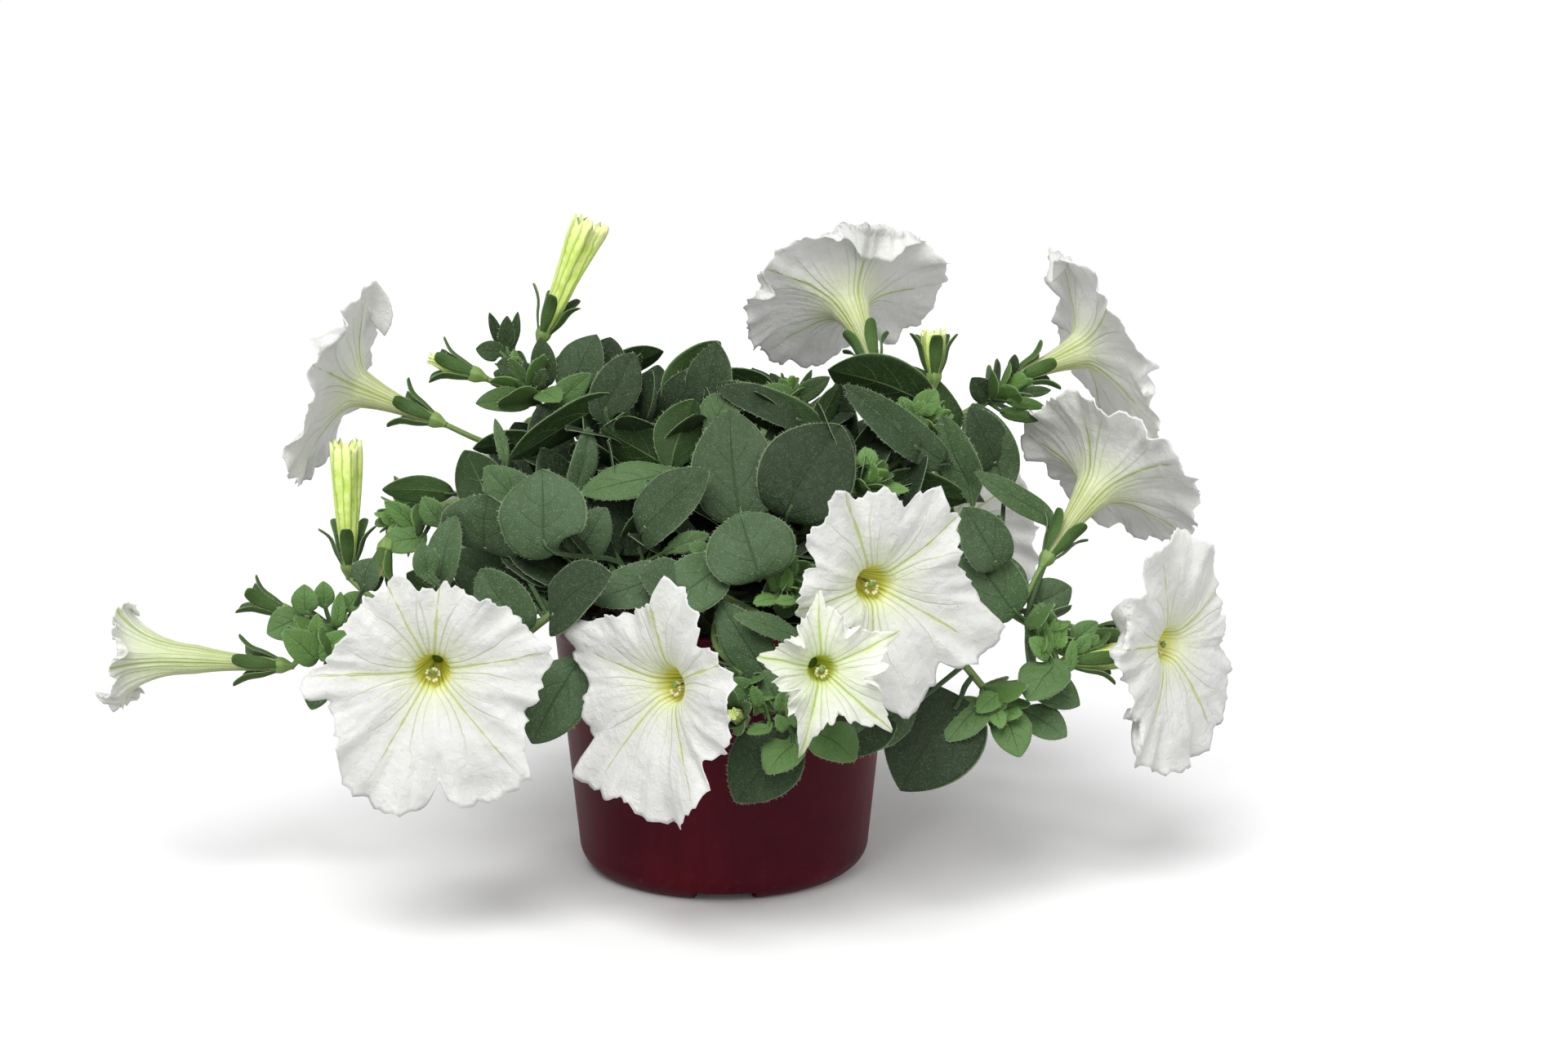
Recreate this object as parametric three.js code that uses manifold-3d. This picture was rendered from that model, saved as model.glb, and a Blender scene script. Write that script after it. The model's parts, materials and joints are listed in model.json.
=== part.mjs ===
// A potted petunia: nursery pot, potting mix, crown, leafy shoots, leaves, buds and trumpet flowers.
// Millimetres, +Z up, the pot's axis is X = Y = 0, the floor is Z = 0 and the front faces -Y.
import * as THREE from 'three';
import loadManifold from 'manifold-3d';

const manifold = await loadManifold();
manifold.setup();

// Driving dimensions of the pot
const POT_HEIGHT = 106;
const POT_SIDES = 28;
const POT_WALL = 1.4;
const CORNER_RADIUS = 10;
const SIDE_RADIUS_LOW = 56.6;
const SIDE_RADIUS_HIGH = 65.2;
const RIM_BAND = 11;
const RIM_STEP = 1.3;
const FOOT_RADIUS = 42;
const UNDERSIDE_RISE = 4;
const CENTRE_PAD_RADIUS = 14;
const NOTCH_COUNT = 3;
const NOTCH_WIDTH = 21;
const DRAIN_COUNT = 6;
const DRAIN_RADIUS = 4;
const DRAIN_RING_RADIUS = 30;

// Driving dimensions of what grows in it
const GAP = 0.3;
const MIX_TOP = 93;
const MIX_DISH = 2;
const STEM_RADIUS = 2;
const STEM_TIP_RADIUS = 1.4;
const STEM_SIDES = 5;
const PEDICEL_RADIUS = 1.1;
const PEDICEL_SIDES = 4;
const CUP_RADIUS = 3;
const SEPAL_LENGTH = 14;
const SEPAL_WIDTH = 4.4;
const SEPAL_COUNT = 5;
const LEAF_EDGE = 0.35;
const LEAF_MIDDLE = 0.9;
const PETAL_THICKNESS = 0.6;
const TUBE_RADIUS = 2.3;
const THROAT_RADIUS = 7;
const PETAL_STEPS = 16;

// Shoots: where each leaves the crown, as turn in degrees, height and distance from the axis, the
// points that it passes through, and the length of the young leaves at its tip
const SHOOTS = {
  a: { base: [162, 96, 10.95], route: [[-30, 8, 128], [-58, 12, 160], [-74, 15, 184]], young: 19 },
  b: {
    base: [195, 96, 10.6], route: [[-48, -14, 122], [-95, -24, 118], [-132, -31, 110], [-150, -35, 101]],
    young: 15,
  },
  c: { base: [182, 104, 8.3], route: [[-45, -8, 138], [-88, -13, 148], [-117, -19, 143]], young: 15 },
  d: { base: [60, 104, 9.25], route: [[12, 9, 135], [19, 10, 160], [23, 10, 178]], young: 14 },
  e: { base: [12, 104, 8.45], route: [[32, 6, 136], [58, 4, 158], [76, 0, 172]], young: 14 },
  f: { base: [325, 104, 8.35], route: [[24, -16, 128], [42, -25, 146], [52, -30, 155]], young: 14 },
  g: { base: [285, 104, 8.2], route: [[10, -32, 124], [18, -52, 130], [22, -64, 127]], young: 13 },
  h: { base: [268, 96, 10.6], route: [[-2, -38, 117], [2, -68, 117], [13, -84, 92]], young: 11 },
  i: { base: [338, 96, 10.4], route: [[48, -22, 120], [88, -38, 119], [116, -49, 105]], young: 16 },
  j: { base: [305, 96, 10.3], route: [[38, -40, 116], [74, -58, 108], [99, -62, 82]], young: 16 },
  k: { base: [17, 96, 10.9], route: [[48, 14, 138], [84, 16, 168], [107, 15, 182]], young: 15 },
  l: { base: [130, 96, 10.75], route: [[-34, 38, 130], [-58, 62, 146], [-70, 76, 150]], young: 16 },
  m: { base: [92, 96, 10.9], route: [[6, 38, 134], [14, 64, 154], [20, 84, 158]], young: 16 },
  n: { base: [55, 96, 10.6], route: [[38, 34, 128], [68, 56, 140], [90, 70, 138]], young: 16 },
  o: { base: [230, 96, 10.6], route: [[-28, -34, 122], [-54, -56, 119], [-76, -62, 104]], young: 13 },
  p: { base: [140, 104, 9.25], route: [[-14, 4, 135], [-28, 2, 160], [-40, 2, 178]], young: 14 },
};

// Flowers: the shoot and the place along it where the pedicel starts, a point that the pedicel
// passes, the seat on the calyx, the middle of the throat, the facing as turn and rise in degrees,
// how far the limb stands out in front of the throat, and its outline as turn and radius
const FLOWERS = {
  front_left: {
    shoot: 'o', along: 0.62, via: [-84, -45, 108], seat: [-104, -63, 99], throat: [-103, -95, 102],
    facing: [4, 5], stand: 8,
    outline: [[9, 45], [33, 39], [49, 36], [81, 36], [107, 42], [150, 35], [178, 46], [208, 37], [240, 51],
      [258, 48], [272, 39], [287, 50], [315, 48], [334, 35], [347, 39]],
  },
  front_middle: {
    shoot: 'h', along: 0.55, via: [-3, -72, 106], seat: [3, -84, 97], throat: [-18, -108, 100],
    facing: [-42, 5], stand: 8,
    outline: [[18, 35], [41, 33], [63, 34], [95, 41], [130, 38], [169, 46], [206, 38], [233, 53], [259, 44],
      [287, 47], [303, 46], [323, 30], [354, 31]],
  },
  front_right: {
    shoot: 'f', along: 0.6, via: [43, -42, 136], seat: [43, -65, 131], throat: [53, -95, 133],
    facing: [18, 3], stand: 8,
    outline: [[0, 35], [34, 39], [55, 41], [70, 32], [91, 35], [115, 42], [138, 36], [151, 28], [177, 34],
      [200, 24], [229, 18], [252, 26], [266, 42], [280, 48], [299, 44], [308, 40], [319, 49], [336, 49]],
  },
  young_star: {
    shoot: 'h', along: 0.5, via: [20, -72, 112], seat: [31, -95, 105], throat: [34, -121, 109],
    facing: [6, 8], stand: 5, throatRadius: 5,
    outline: [[26, 26], [60, 14], [94, 26], [130, 13], [165, 20], [210, 13], [254, 28], [285, 15], [317, 30],
      [350, 15]],
  },
  right_side: {
    shoot: 'i', along: 0.8, via: [120, -28, 104], seat: [143, -21, 96], throat: [166, -40, 96],
    facing: [46, 0], stand: 7,
    outline: [[6, 26], [40, 30], [62, 38], [90, 45], [118, 46], [136, 38], [168, 42], [200, 32], [220, 37],
      [244, 47], [289, 48], [304, 44], [333, 35]],
  },
  right_back: {
    shoot: 'i', along: 0.9, via: [112, -38, 112], seat: [123, -26, 128], throat: [140, -10, 147],
    facing: [135, 35], stand: 15,
    outline: [[18, 40], [54, 36], [90, 39], [126, 36], [162, 41], [198, 38], [234, 40], [270, 35], [306, 38],
      [342, 34]],
  },
  upper_right: {
    shoot: 'k', along: 0.97, via: [108, 16, 184], seat: [114, 19, 188], throat: [138, 25, 197],
    facing: [105, 20], stand: 9,
    outline: [[0, 40], [30, 37], [60, 41], [100, 38], [136, 34], [162, 39], [180, 42], [210, 41], [221, 47],
      [249, 46], [266, 40], [312, 44]],
  },
  top: {
    shoot: 'e', along: 0.72, via: [58, 12, 176], seat: [58, 17, 194], throat: [51, 38, 211],
    facing: [203, 36], stand: 15,
    outline: [[20, 39], [54, 34], [102, 40], [144, 36], [173, 47], [194, 49], [217, 46], [245, 39], [286, 44],
      [319, 41], [350, 38]],
  },
  upper_left: {
    shoot: 'a', along: 0.6, via: [-90, 3, 166], seat: [-111, 1, 176], throat: [-137, 6, 186],
    facing: [-100, 20], stand: 10,
    outline: [[18, 44], [50, 36], [82, 41], [107, 32], [130, 34], [165, 40], [200, 38], [228, 42], [250, 38],
      [280, 42], [314, 44], [346, 34]],
  },
  half_open: {
    shoot: 'b', along: 0.88, via: [-152, -33, 98], seat: [-168, -32, 88], throat: [-198, -31, 90],
    facing: [-92, 3], stand: 28, throatRadius: 5.5,
    outline: [[0, 18], [72, 20], [144, 18], [216, 20], [288, 19]],
  },
  back_left: {
    shoot: 'l', along: 0.62, via: [-56, 60, 124], seat: [-62, 67, 108], throat: [-77, 92, 116],
    facing: [-148, 18], stand: 9,
    outline: [[10, 42], [46, 37], [82, 44], [118, 36], [154, 42], [190, 38], [226, 45], [262, 37], [298, 43],
      [334, 36]],
  },
  back_middle: {
    shoot: 'm', along: 0.55, via: [4, 72, 126], seat: [6, 84, 112], throat: [8, 111, 122],
    facing: [176, 22], stand: 9,
    outline: [[24, 43], [60, 36], [96, 41], [132, 38], [168, 45], [204, 37], [240, 43], [276, 38], [312, 44],
      [348, 37]],
  },
  back_right: {
    shoot: 'n', along: 0.62, via: [70, 56, 120], seat: [76, 64, 106], throat: [92, 88, 112],
    facing: [146, 12], stand: 8,
    outline: [[0, 44], [36, 37], [72, 42], [108, 36], [144, 44], [180, 38], [216, 42], [252, 36], [288, 44],
      [324, 38]],
  },
};

// Buds: the shoot and place along it, a point that the pedicel passes, base and tip of the bud, and
// its radius at the base, the middle and the tip
const BUDS = {
  tall: {
    shoot: 'a', along: 0.98, via: [-71, 19, 196], base: [-68, 20, 207],
    tip: [-50, 20, 248], radii: [2.3, 4.2, 6.8],
  },
  left: {
    shoot: 'b', along: 0.72, via: [-135, -24, 114], base: [-141, -21, 125],
    tip: [-141, -20, 170], radii: [2.2, 4.2, 6.2],
  },
  top: {
    shoot: 'e', along: 0.98, via: [79, 4, 182], base: [81, 8, 192],
    tip: [81, 10, 207], radii: [2.2, 3.8, 4.8],
  },
  right: {
    shoot: 'i', along: 0.97, via: [122, -52, 97], base: [130, -52, 93],
    tip: [149, -51, 95], radii: [2.2, 3.8, 5],
  },
  front: {
    shoot: 'h', along: 0.97, via: [8, -90, 86], base: [6, -95, 84],
    tip: [3, -103, 88], radii: [1.6, 2.6, 2.2],
  },
  upper: {
    shoot: 'a', along: 0.93, via: [-84, 10, 187], base: [-96, 9, 192],
    tip: [-112, 9, 198], radii: [1.8, 3, 2.2],
  },
  outer: {
    shoot: 'b', along: 0.93, via: [-158, -28, 105], base: [-166, -28, 108],
    tip: [-176, -28, 113], radii: [1.6, 2.6, 2],
  },
  small: {
    shoot: 'c', along: 0.97, via: [-124, -26, 139], base: [-126, -32, 132],
    tip: [-128, -38, 124], radii: [1.6, 2.6, 2],
  },
};

// Leaves: the shoot and place along it, base and tip of the blade, its width, and the way that its
// upper face looks, as turn and rise in degrees
const LEAVES = {
  centre_tall: {
    shoot: 'g', along: 0.45, base: [7, -44, 146],
    tip: [3, -27, 184], width: 32, looks: [0, 20],
  },
  centre_right: {
    shoot: 'f', along: 0.45, base: [24, -46, 148],
    tip: [44, -30, 178], width: 36, looks: [8, 30],
  },
  centre_low: {
    shoot: 'g', along: 0.6, base: [13, -79, 132],
    tip: [6, -66, 153], width: 33, looks: [-5, 30],
  },
  centre_left: {
    shoot: 'p', along: 0.3, base: [-30, -50, 142],
    tip: [-5, -52, 166], width: 24, looks: [-25, 40],
  },
  left_face: {
    shoot: 'o', along: 0.44, base: [-64, -60, 139],
    tip: [-66, -50, 166], width: 33, looks: [-10, 25],
  },
  left_outer: {
    shoot: 'c', along: 0.6, base: [-87, -42, 134],
    tip: [-86, -46, 156], width: 34, looks: [-20, 25],
  },
  left_low: {
    shoot: 'o', along: 0.72, base: [-62, -77, 117],
    tip: [-40, -88, 136], width: 25, looks: [-20, 45],
  },
  middle_low: {
    shoot: 'h', along: 0.36, base: [-12, -74, 123],
    tip: [-30, -82, 134], width: 22, looks: [-5, 50],
  },
  top_right_of_middle: {
    shoot: 'd', along: 0.6, base: [-6, -2, 180],
    tip: [-2, 2, 205], width: 20, looks: [-30, 10],
  },
  top_left_of_middle: {
    shoot: 'p', along: 0.6, base: [-44, -15, 180],
    tip: [-33, -6, 202], width: 18, looks: [20, 20],
  },
  top_left: {
    shoot: 'a', along: 0.66, base: [-57, 8, 184],
    tip: [-48, 14, 206], width: 20, looks: [-20, 30],
  },
  top_fold: {
    shoot: 'd', along: 0.85, base: [30, -12, 176],
    tip: [-2, -16, 190], width: 16, looks: [10, 50],
  },
  upper_right_long: {
    shoot: 'e', along: 0.9, base: [74, -16, 166],
    tip: [46, -14, 190], width: 17, looks: [20, 40],
  },
  upper_right_round: {
    shoot: 'k', along: 0.8, base: [104, -4, 158],
    tip: [94, -8, 181], width: 18, looks: [15, 20],
  },
  right_middle: {
    shoot: 'i', along: 0.72, base: [100, -56, 130],
    tip: [88, -54, 152], width: 20, looks: [15, 20],
  },
  right_low: { shoot: 'j', along: 0.9, base: [86, -72, 84], tip: [64, -86, 54], width: 38, looks: [5, 20] },
  front_low: {
    shoot: 'j', along: 0.42, base: [22, -88, 78],
    tip: [4, -98, 54], width: 27, looks: [-5, 15],
  },
  front_low_right: {
    shoot: 'j', along: 0.5, base: [56, -84, 86],
    tip: [40, -92, 70], width: 24, looks: [0, 30],
  },
  back_high: {
    shoot: 'm', along: 0.5, base: [-8, 62, 152],
    tip: [-22, 78, 176], width: 30, looks: [180, 30],
  },
  back_low: {
    shoot: 'n', along: 0.45, base: [42, 66, 112],
    tip: [38, 92, 90], width: 32, looks: [170, 40],
  },
};

// Plain colours, roughness and metalness for each kind of piece
const LOOKS = {
  pot: { color: 0x45181e, roughness: 0.42, metalness: 0 },
  mix: { color: 0x2a211b, roughness: 0.95, metalness: 0 },
  crown: { color: 0x5d6e44, roughness: 0.7, metalness: 0 },
  shoot: { color: 0x506935, roughness: 0.65, metalness: 0 },
  leaf: { color: 0x3f5636, roughness: 0.72, metalness: 0 },
  petal: { color: 0xe5e7dd, roughness: 0.6, metalness: 0 },
  cream: { color: 0xccdd88, roughness: 0.6, metalness: 0 },
};

const vector = (numbers) => new THREE.Vector3(...numbers);

/**
 * A closed body as points and faces: rings of points in order, each end closed by a fan. Where a thin
 * wall turns back, its faces are split the other way, so that both skins fold along the same lines.
 */
function loft(rings, turnsBack = () => false) {
  const sides = rings[0].length;
  const points = rings.flat();
  const faces = [];
  for (let ring = 0; ring + 1 < rings.length; ring += 1) {
    for (let side = 0; side < sides; side += 1) {
      const here = ring * sides + side;
      const beside = ring * sides + ((side + 1) % sides);
      if (turnsBack(ring, side)) {
        faces.push([here, beside, here + sides], [beside, beside + sides, here + sides]);
      } else {
        faces.push([here, beside, beside + sides], [here, beside + sides, here + sides]);
      }
    }
  }
  const last = (rings.length - 1) * sides;
  const centreOf = (ring) => {
    const sum = ring.reduce((total, point) => total.add(point), new THREE.Vector3());
    return sum.divideScalar(sides);
  };
  const startCentre = points.push(centreOf(rings[0])) - 1;
  const endCentre = points.push(centreOf(rings[rings.length - 1])) - 1;
  for (let side = 0; side < sides; side += 1) {
    const next = (side + 1) % sides;
    faces.push([startCentre, next, side], [endCentre, last + side, last + next]);
  }
  return { points, faces };
}

/** The body as a solid for cutting and joining. */
function solidOf(body) {
  const mesh = new manifold.Mesh({
    numProp: 3,
    vertProperties: new Float32Array(body.points.flatMap((point) => point.toArray())),
    triVerts: new Uint32Array(body.faces.flat()),
  });
  return new manifold.Manifold(mesh);
}

/** Any closed three.js geometry as a solid, with its equal corners joined. */
function solidOfGeometry(geometry) {
  const position = geometry.getAttribute('position');
  const index = geometry.index ? geometry.index.array : [...Array(position.count).keys()];
  const known = new Map();
  const points = [];
  const places = [];
  for (let corner = 0; corner < position.count; corner += 1) {
    const point = new THREE.Vector3().fromBufferAttribute(position, corner);
    const key = point.toArray().map((value) => Math.round(value * 1e4)).join(' ');
    if (!known.has(key)) {
      known.set(key, points.push(point) - 1);
    }
    places.push(known.get(key));
  }
  const faces = [];
  for (let at = 0; at < index.length; at += 3) {
    const face = [places[index[at]], places[index[at + 1]], places[index[at + 2]]];
    if (new Set(face).size === 3) {
      faces.push(face);
    }
  }
  return solidOf({ points, faces });
}

/** A solid back as a geometry that three.js can show. */
function geometryOf(solid) {
  const mesh = solid.getMesh();
  const geometry = new THREE.BufferGeometry();
  const stride = mesh.numProp;
  const flat = new Float32Array(mesh.numVert * 3);
  for (let point = 0; point < mesh.numVert; point += 1) {
    flat.set(mesh.vertProperties.subarray(point * stride, point * stride + 3), point * 3);
  }
  geometry.setAttribute('position', new THREE.BufferAttribute(flat, 3));
  geometry.setIndex([...mesh.triVerts]);
  geometry.computeVertexNormals();
  return geometry;
}

/** A named mesh with its own plain material. */
function meshOf(name, geometry, look) {
  const mesh = new THREE.Mesh(geometry, new THREE.MeshStandardMaterial(look));
  mesh.name = name;
  return mesh;
}

/** The unit vector for a turn about the upright axis, 0 to the front, and a rise from the level. */
function lookOf([turn, rise]) {
  const about = THREE.MathUtils.degToRad(turn);
  const up = THREE.MathUtils.degToRad(rise);
  return new THREE.Vector3(
    Math.cos(up) * Math.sin(about),
    -Math.cos(up) * Math.cos(about),
    Math.sin(up),
  );
}

/** Two unit vectors square to a direction, the first one level, so that they turn from first to second. */
function crossAxes(direction) {
  const level = new THREE.Vector3(-direction.y, direction.x, 0);
  const first = level.lengthSq() > 1e-6 ? level.normalize() : new THREE.Vector3(1, 0, 0);
  return [first, new THREE.Vector3().crossVectors(direction, first)];
}

/** Places along a curve, each with its centre, a side and an up vector, carried on with the least turn. */
function carriedFrames(curve, shares, firstSide) {
  let side = firstSide;
  return shares.map((share) => {
    const along = curve.getTangent(share).normalize();
    side = side.clone().addScaledVector(along, -along.dot(side)).normalize();
    return { centre: curve.getPoint(share), side, up: new THREE.Vector3().crossVectors(along, side) };
  });
}

/** A circle of points round a frame's centre. */
function circle(frame, radius, sides) {
  return Array.from({ length: sides }, (_, side) => {
    const angle = (2 * Math.PI * side) / sides;
    return frame.centre.clone()
      .addScaledVector(frame.side, radius * Math.cos(angle))
      .addScaledVector(frame.up, radius * Math.sin(angle));
  });
}

/** A round tube along a curve, its radius running evenly through the given values. */
function taperedTube(curve, radii, steps, sides) {
  const shares = Array.from({ length: steps + 1 }, (_, step) => step / steps);
  const [firstSide] = crossAxes(curve.getTangent(0).normalize());
  const rings = carriedFrames(curve, shares, firstSide).map((frame, step) => {
    const place = shares[step] * (radii.length - 1);
    const low = Math.min(Math.floor(place), radii.length - 2);
    return circle(frame, THREE.MathUtils.lerp(radii[low], radii[low + 1], place - low), sides);
  });
  return loft(rings);
}

/** The nursery pot: a turned wall, base and rim, with foot notches and drain holes cut through. */
function makePot() {
  const outer = [
    [0, 0],
    [CENTRE_PAD_RADIUS, 0],
    [CENTRE_PAD_RADIUS + 1.5, UNDERSIDE_RISE],
    [FOOT_RADIUS - 1.5, UNDERSIDE_RISE],
    [FOOT_RADIUS, 0],
  ];
  const cornerOut = SIDE_RADIUS_LOW - CORNER_RADIUS;
  for (let step = 0; step <= 4; step += 1) {
    const angle = (step / 4) * (Math.PI / 2);
    outer.push([cornerOut + CORNER_RADIUS * Math.sin(angle), CORNER_RADIUS * (1 - Math.cos(angle))]);
  }
  const bandFoot = POT_HEIGHT - RIM_BAND;
  outer.push([SIDE_RADIUS_HIGH, bandFoot], [SIDE_RADIUS_HIGH + RIM_STEP, bandFoot + 0.8]);
  outer.push([SIDE_RADIUS_HIGH + RIM_STEP + 0.9, POT_HEIGHT - 0.6]);
  outer.push([SIDE_RADIUS_HIGH + RIM_STEP + 0.4, POT_HEIGHT]);
  const floor = UNDERSIDE_RISE + POT_WALL;
  const cornerIn = innerRadius(CORNER_RADIUS);
  const inner = [[innerRadius(POT_HEIGHT) + 0.2, POT_HEIGHT], [cornerIn, CORNER_RADIUS]];
  inner.push([cornerIn - 2.2, floor + 1.4], [cornerIn - 5, floor], [0, floor]);
  const profile = [...outer, ...inner].map(([radius, height]) => new THREE.Vector2(radius, height));
  let pot = solidOfGeometry(new THREE.LatheGeometry(profile, POT_SIDES).rotateX(Math.PI / 2));
  for (let notch = 0; notch < NOTCH_COUNT; notch += 1) {
    const cutter = new THREE.BoxGeometry(NOTCH_WIDTH, 24, 2 * UNDERSIDE_RISE);
    cutter.translate(0, -(FOOT_RADIUS + 8), 0);
    cutter.rotateZ((2 * Math.PI * notch) / NOTCH_COUNT);
    pot = pot.subtract(solidOfGeometry(cutter));
  }
  for (let drain = 0; drain < DRAIN_COUNT; drain += 1) {
    const cutter = new THREE.CylinderGeometry(DRAIN_RADIUS, DRAIN_RADIUS, 12, 8);
    cutter.rotateX(Math.PI / 2);
    cutter.translate(0, -DRAIN_RING_RADIUS, floor);
    cutter.rotateZ((2 * Math.PI * drain) / DRAIN_COUNT);
    pot = pot.subtract(solidOfGeometry(cutter));
  }
  return meshOf('pot', geometryOf(pot), LOOKS.pot);
}

/** The inside radius of the pot's straight side at a height. */
function innerRadius(height) {
  const share = (height - CORNER_RADIUS) / (POT_HEIGHT - RIM_BAND - CORNER_RADIUS);
  return THREE.MathUtils.lerp(SIDE_RADIUS_LOW, SIDE_RADIUS_HIGH, share) - POT_WALL;
}

// The crown's outline from its foot in the mix to its rounded top, as radius and height
const CROWN_OUTLINE = [[0, 70], [5, 73], [8, 84], [9.2, 93], [9.2, 98], [7.5, 104], [4, 107], [0, 108]];

/** The potting mix: a slightly dished plug that clears the pot's inside and the crown. */
function makeMix() {
  const floor = UNDERSIDE_RISE + POT_WALL + GAP;
  const corner = innerRadius(CORNER_RADIUS);
  const edge = innerRadius(MIX_TOP) - GAP;
  const profile = [[0, floor], [corner - 6, floor], [corner - 3.2, floor + 1.6]];
  profile.push([corner - GAP - 0.1, CORNER_RADIUS + 0.6], [edge, MIX_TOP], [edge - 4.7, MIX_TOP - 1]);
  profile.push([30, MIX_TOP - MIX_DISH], [13, MIX_TOP - 0.5]);
  const below = CROWN_OUTLINE.filter(([, height]) => height <= MIX_TOP).reverse();
  profile.push(...below.map(([radius, height]) => [radius > 0 ? radius + GAP : 0, height - GAP]));
  const outline = profile.map(([radius, height]) => new THREE.Vector2(radius, height));
  const plug = solidOfGeometry(new THREE.LatheGeometry(outline, POT_SIDES).rotateX(Math.PI / 2));
  return meshOf('potting_mix', geometryOf(plug), LOOKS.mix);
}

/** The crown: the short woody base that every shoot grows from. */
function makeCrown() {
  const outline = CROWN_OUTLINE.map(([radius, height]) => new THREE.Vector2(radius, height));
  const stump = solidOfGeometry(new THREE.LatheGeometry(outline, 16).rotateX(Math.PI / 2));
  return meshOf('crown', geometryOf(stump), LOOKS.crown);
}

/** The curve of a shoot's main stem, from just off the crown to its tip. */
function stemCurve(shoot) {
  const [degrees, height, reach] = shoot.base;
  const turn = THREE.MathUtils.degToRad(degrees);
  const start = new THREE.Vector3(reach * Math.cos(turn), reach * Math.sin(turn), height);
  return new THREE.CatmullRomCurve3([start, ...shoot.route.map(vector)]);
}

/** A small simple leaf or sepal: a strip of three-sided rings, flat on the face that looks inward. */
function strip(path, width, face, shares, thickness) {
  const rings = shares.map(([share, part]) => {
    const along = path.getTangent(share).normalize();
    const side = new THREE.Vector3().crossVectors(face, along).normalize();
    const up = new THREE.Vector3().crossVectors(along, side);
    const half = (width / 2) * part;
    const centre = path.getPoint(share);
    return [[half, thickness / 2], [-half, thickness / 2], [0, -thickness / 2]].map(([across, raise]) => (
      centre.clone().addScaledVector(side, across).addScaledVector(up, raise)
    ));
  });
  return loft(rings);
}

/** The young leaves at a shoot's tip, opening in a spiral round the stem's end. */
function youngLeaves(curve, length) {
  const tip = curve.getPoint(1);
  const along = curve.getTangent(1).normalize();
  const [first, second] = crossAxes(along);
  return Array.from({ length: 5 }, (_, leaf) => {
    const angle = leaf * THREE.MathUtils.degToRad(137.5);
    const open = 1 - 0.11 * leaf;
    const out = first.clone().multiplyScalar(Math.cos(angle)).addScaledVector(second, Math.sin(angle));
    const start = tip.clone().addScaledVector(along, 1.1 * leaf - 5).addScaledVector(out, 0.8);
    const place = (reach, rise) => start.clone()
      .addScaledVector(out, reach * length * open)
      .addScaledVector(along, rise * length);
    const path = new THREE.CatmullRomCurve3([start, place(0.5, 0.35), place(0.95, 0.62)]);
    const face = along.clone().multiplyScalar(2).sub(out);
    return strip(path, 0.5 * length, face, [[0, 0.2], [0.55, 1], [1, 0.12]], 0.9);
  });
}

/** A pedicel from a place on a stem to the calyx under a seat, with its cup and sepals. */
function stalkWithCalyx(stem, item, seat, toward, opening) {
  const axis = toward.clone().normalize();
  const start = stem.getPoint(item.along);
  const cupFoot = seat.clone().addScaledVector(axis, -6);
  const cupTop = seat.clone().addScaledVector(axis, -GAP);
  const stalk = new THREE.CatmullRomCurve3([start, vector(item.via), cupFoot]);
  const bodies = [taperedTube(stalk, [PEDICEL_RADIUS, PEDICEL_RADIUS], 3, PEDICEL_SIDES)];
  const cup = new THREE.LineCurve3(cupFoot.clone().addScaledVector(axis, -0.8), cupTop);
  bodies.push(taperedTube(cup, [PEDICEL_RADIUS, CUP_RADIUS], 1, 6));
  const [first, second] = crossAxes(axis);
  for (let sepal = 0; sepal < SEPAL_COUNT; sepal += 1) {
    const angle = (2 * Math.PI * (sepal + 0.3)) / SEPAL_COUNT;
    const out = first.clone().multiplyScalar(Math.cos(angle)).addScaledVector(second, Math.sin(angle));
    const place = (reach, rise) => seat.clone().addScaledVector(out, reach).addScaledVector(axis, rise);
    const path = new THREE.CatmullRomCurve3([
      place(2.2, -1.6),
      place(opening + 1.2, 0.3 * SEPAL_LENGTH),
      place(opening + 4.5, SEPAL_LENGTH),
    ]);
    const shares = [[0, 0.36], [0.6, 1], [1, 0.2]];
    bodies.push(strip(path, SEPAL_WIDTH, out.clone().negate(), shares, 0.9));
  }
  return bodies;
}

/** A flower's tube axis at its seat: it bends from there to the way that the throat looks. */
function flowerCurve(flower) {
  const seat = vector(flower.seat);
  const throat = vector(flower.throat);
  const back = lookOf(flower.facing).multiplyScalar(-0.5 * seat.distanceTo(throat));
  return new THREE.QuadraticBezierCurve3(seat, throat.clone().add(back), throat);
}

/** A shoot: main stem, young leaves, and the pedicels and calyxes of its flowers and buds, grown together. */
function makeShoot(key) {
  const shoot = SHOOTS[key];
  const stem = stemCurve(shoot);
  const bodies = [taperedTube(stem, [STEM_RADIUS, STEM_TIP_RADIUS], 7, STEM_SIDES)];
  bodies.push(...youngLeaves(stem, shoot.young));
  for (const flower of Object.values(FLOWERS).filter((item) => item.shoot === key)) {
    const curve = flowerCurve(flower);
    bodies.push(...stalkWithCalyx(stem, flower, curve.getPoint(0), curve.getTangent(0), 3.9));
  }
  for (const bud of Object.values(BUDS).filter((item) => item.shoot === key)) {
    const base = vector(bud.base);
    const toward = vector(bud.tip).sub(base);
    bodies.push(...stalkWithCalyx(stem, bud, base, toward, bud.radii[1]));
  }
  const grown = manifold.Manifold.union(bodies.map(solidOf));
  return meshOf(`shoot_${key}`, geometryOf(grown), LOOKS.shoot);
}

/** The limb's radius at a turn, read from the outline with a smooth run between its points. */
function limbRadius(outline, turn) {
  const after = outline.findIndex(([place]) => place > turn);
  const high = after < 0 ? 0 : after;
  const low = (high + outline.length - 1) % outline.length;
  const span = (outline[high][0] - outline[low][0] + 360) % 360;
  const share = ((turn - outline[low][0] + 360) % 360) / span;
  return THREE.MathUtils.lerp(outline[low][1], outline[high][1], THREE.MathUtils.smoothstep(share, 0, 1));
}

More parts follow.
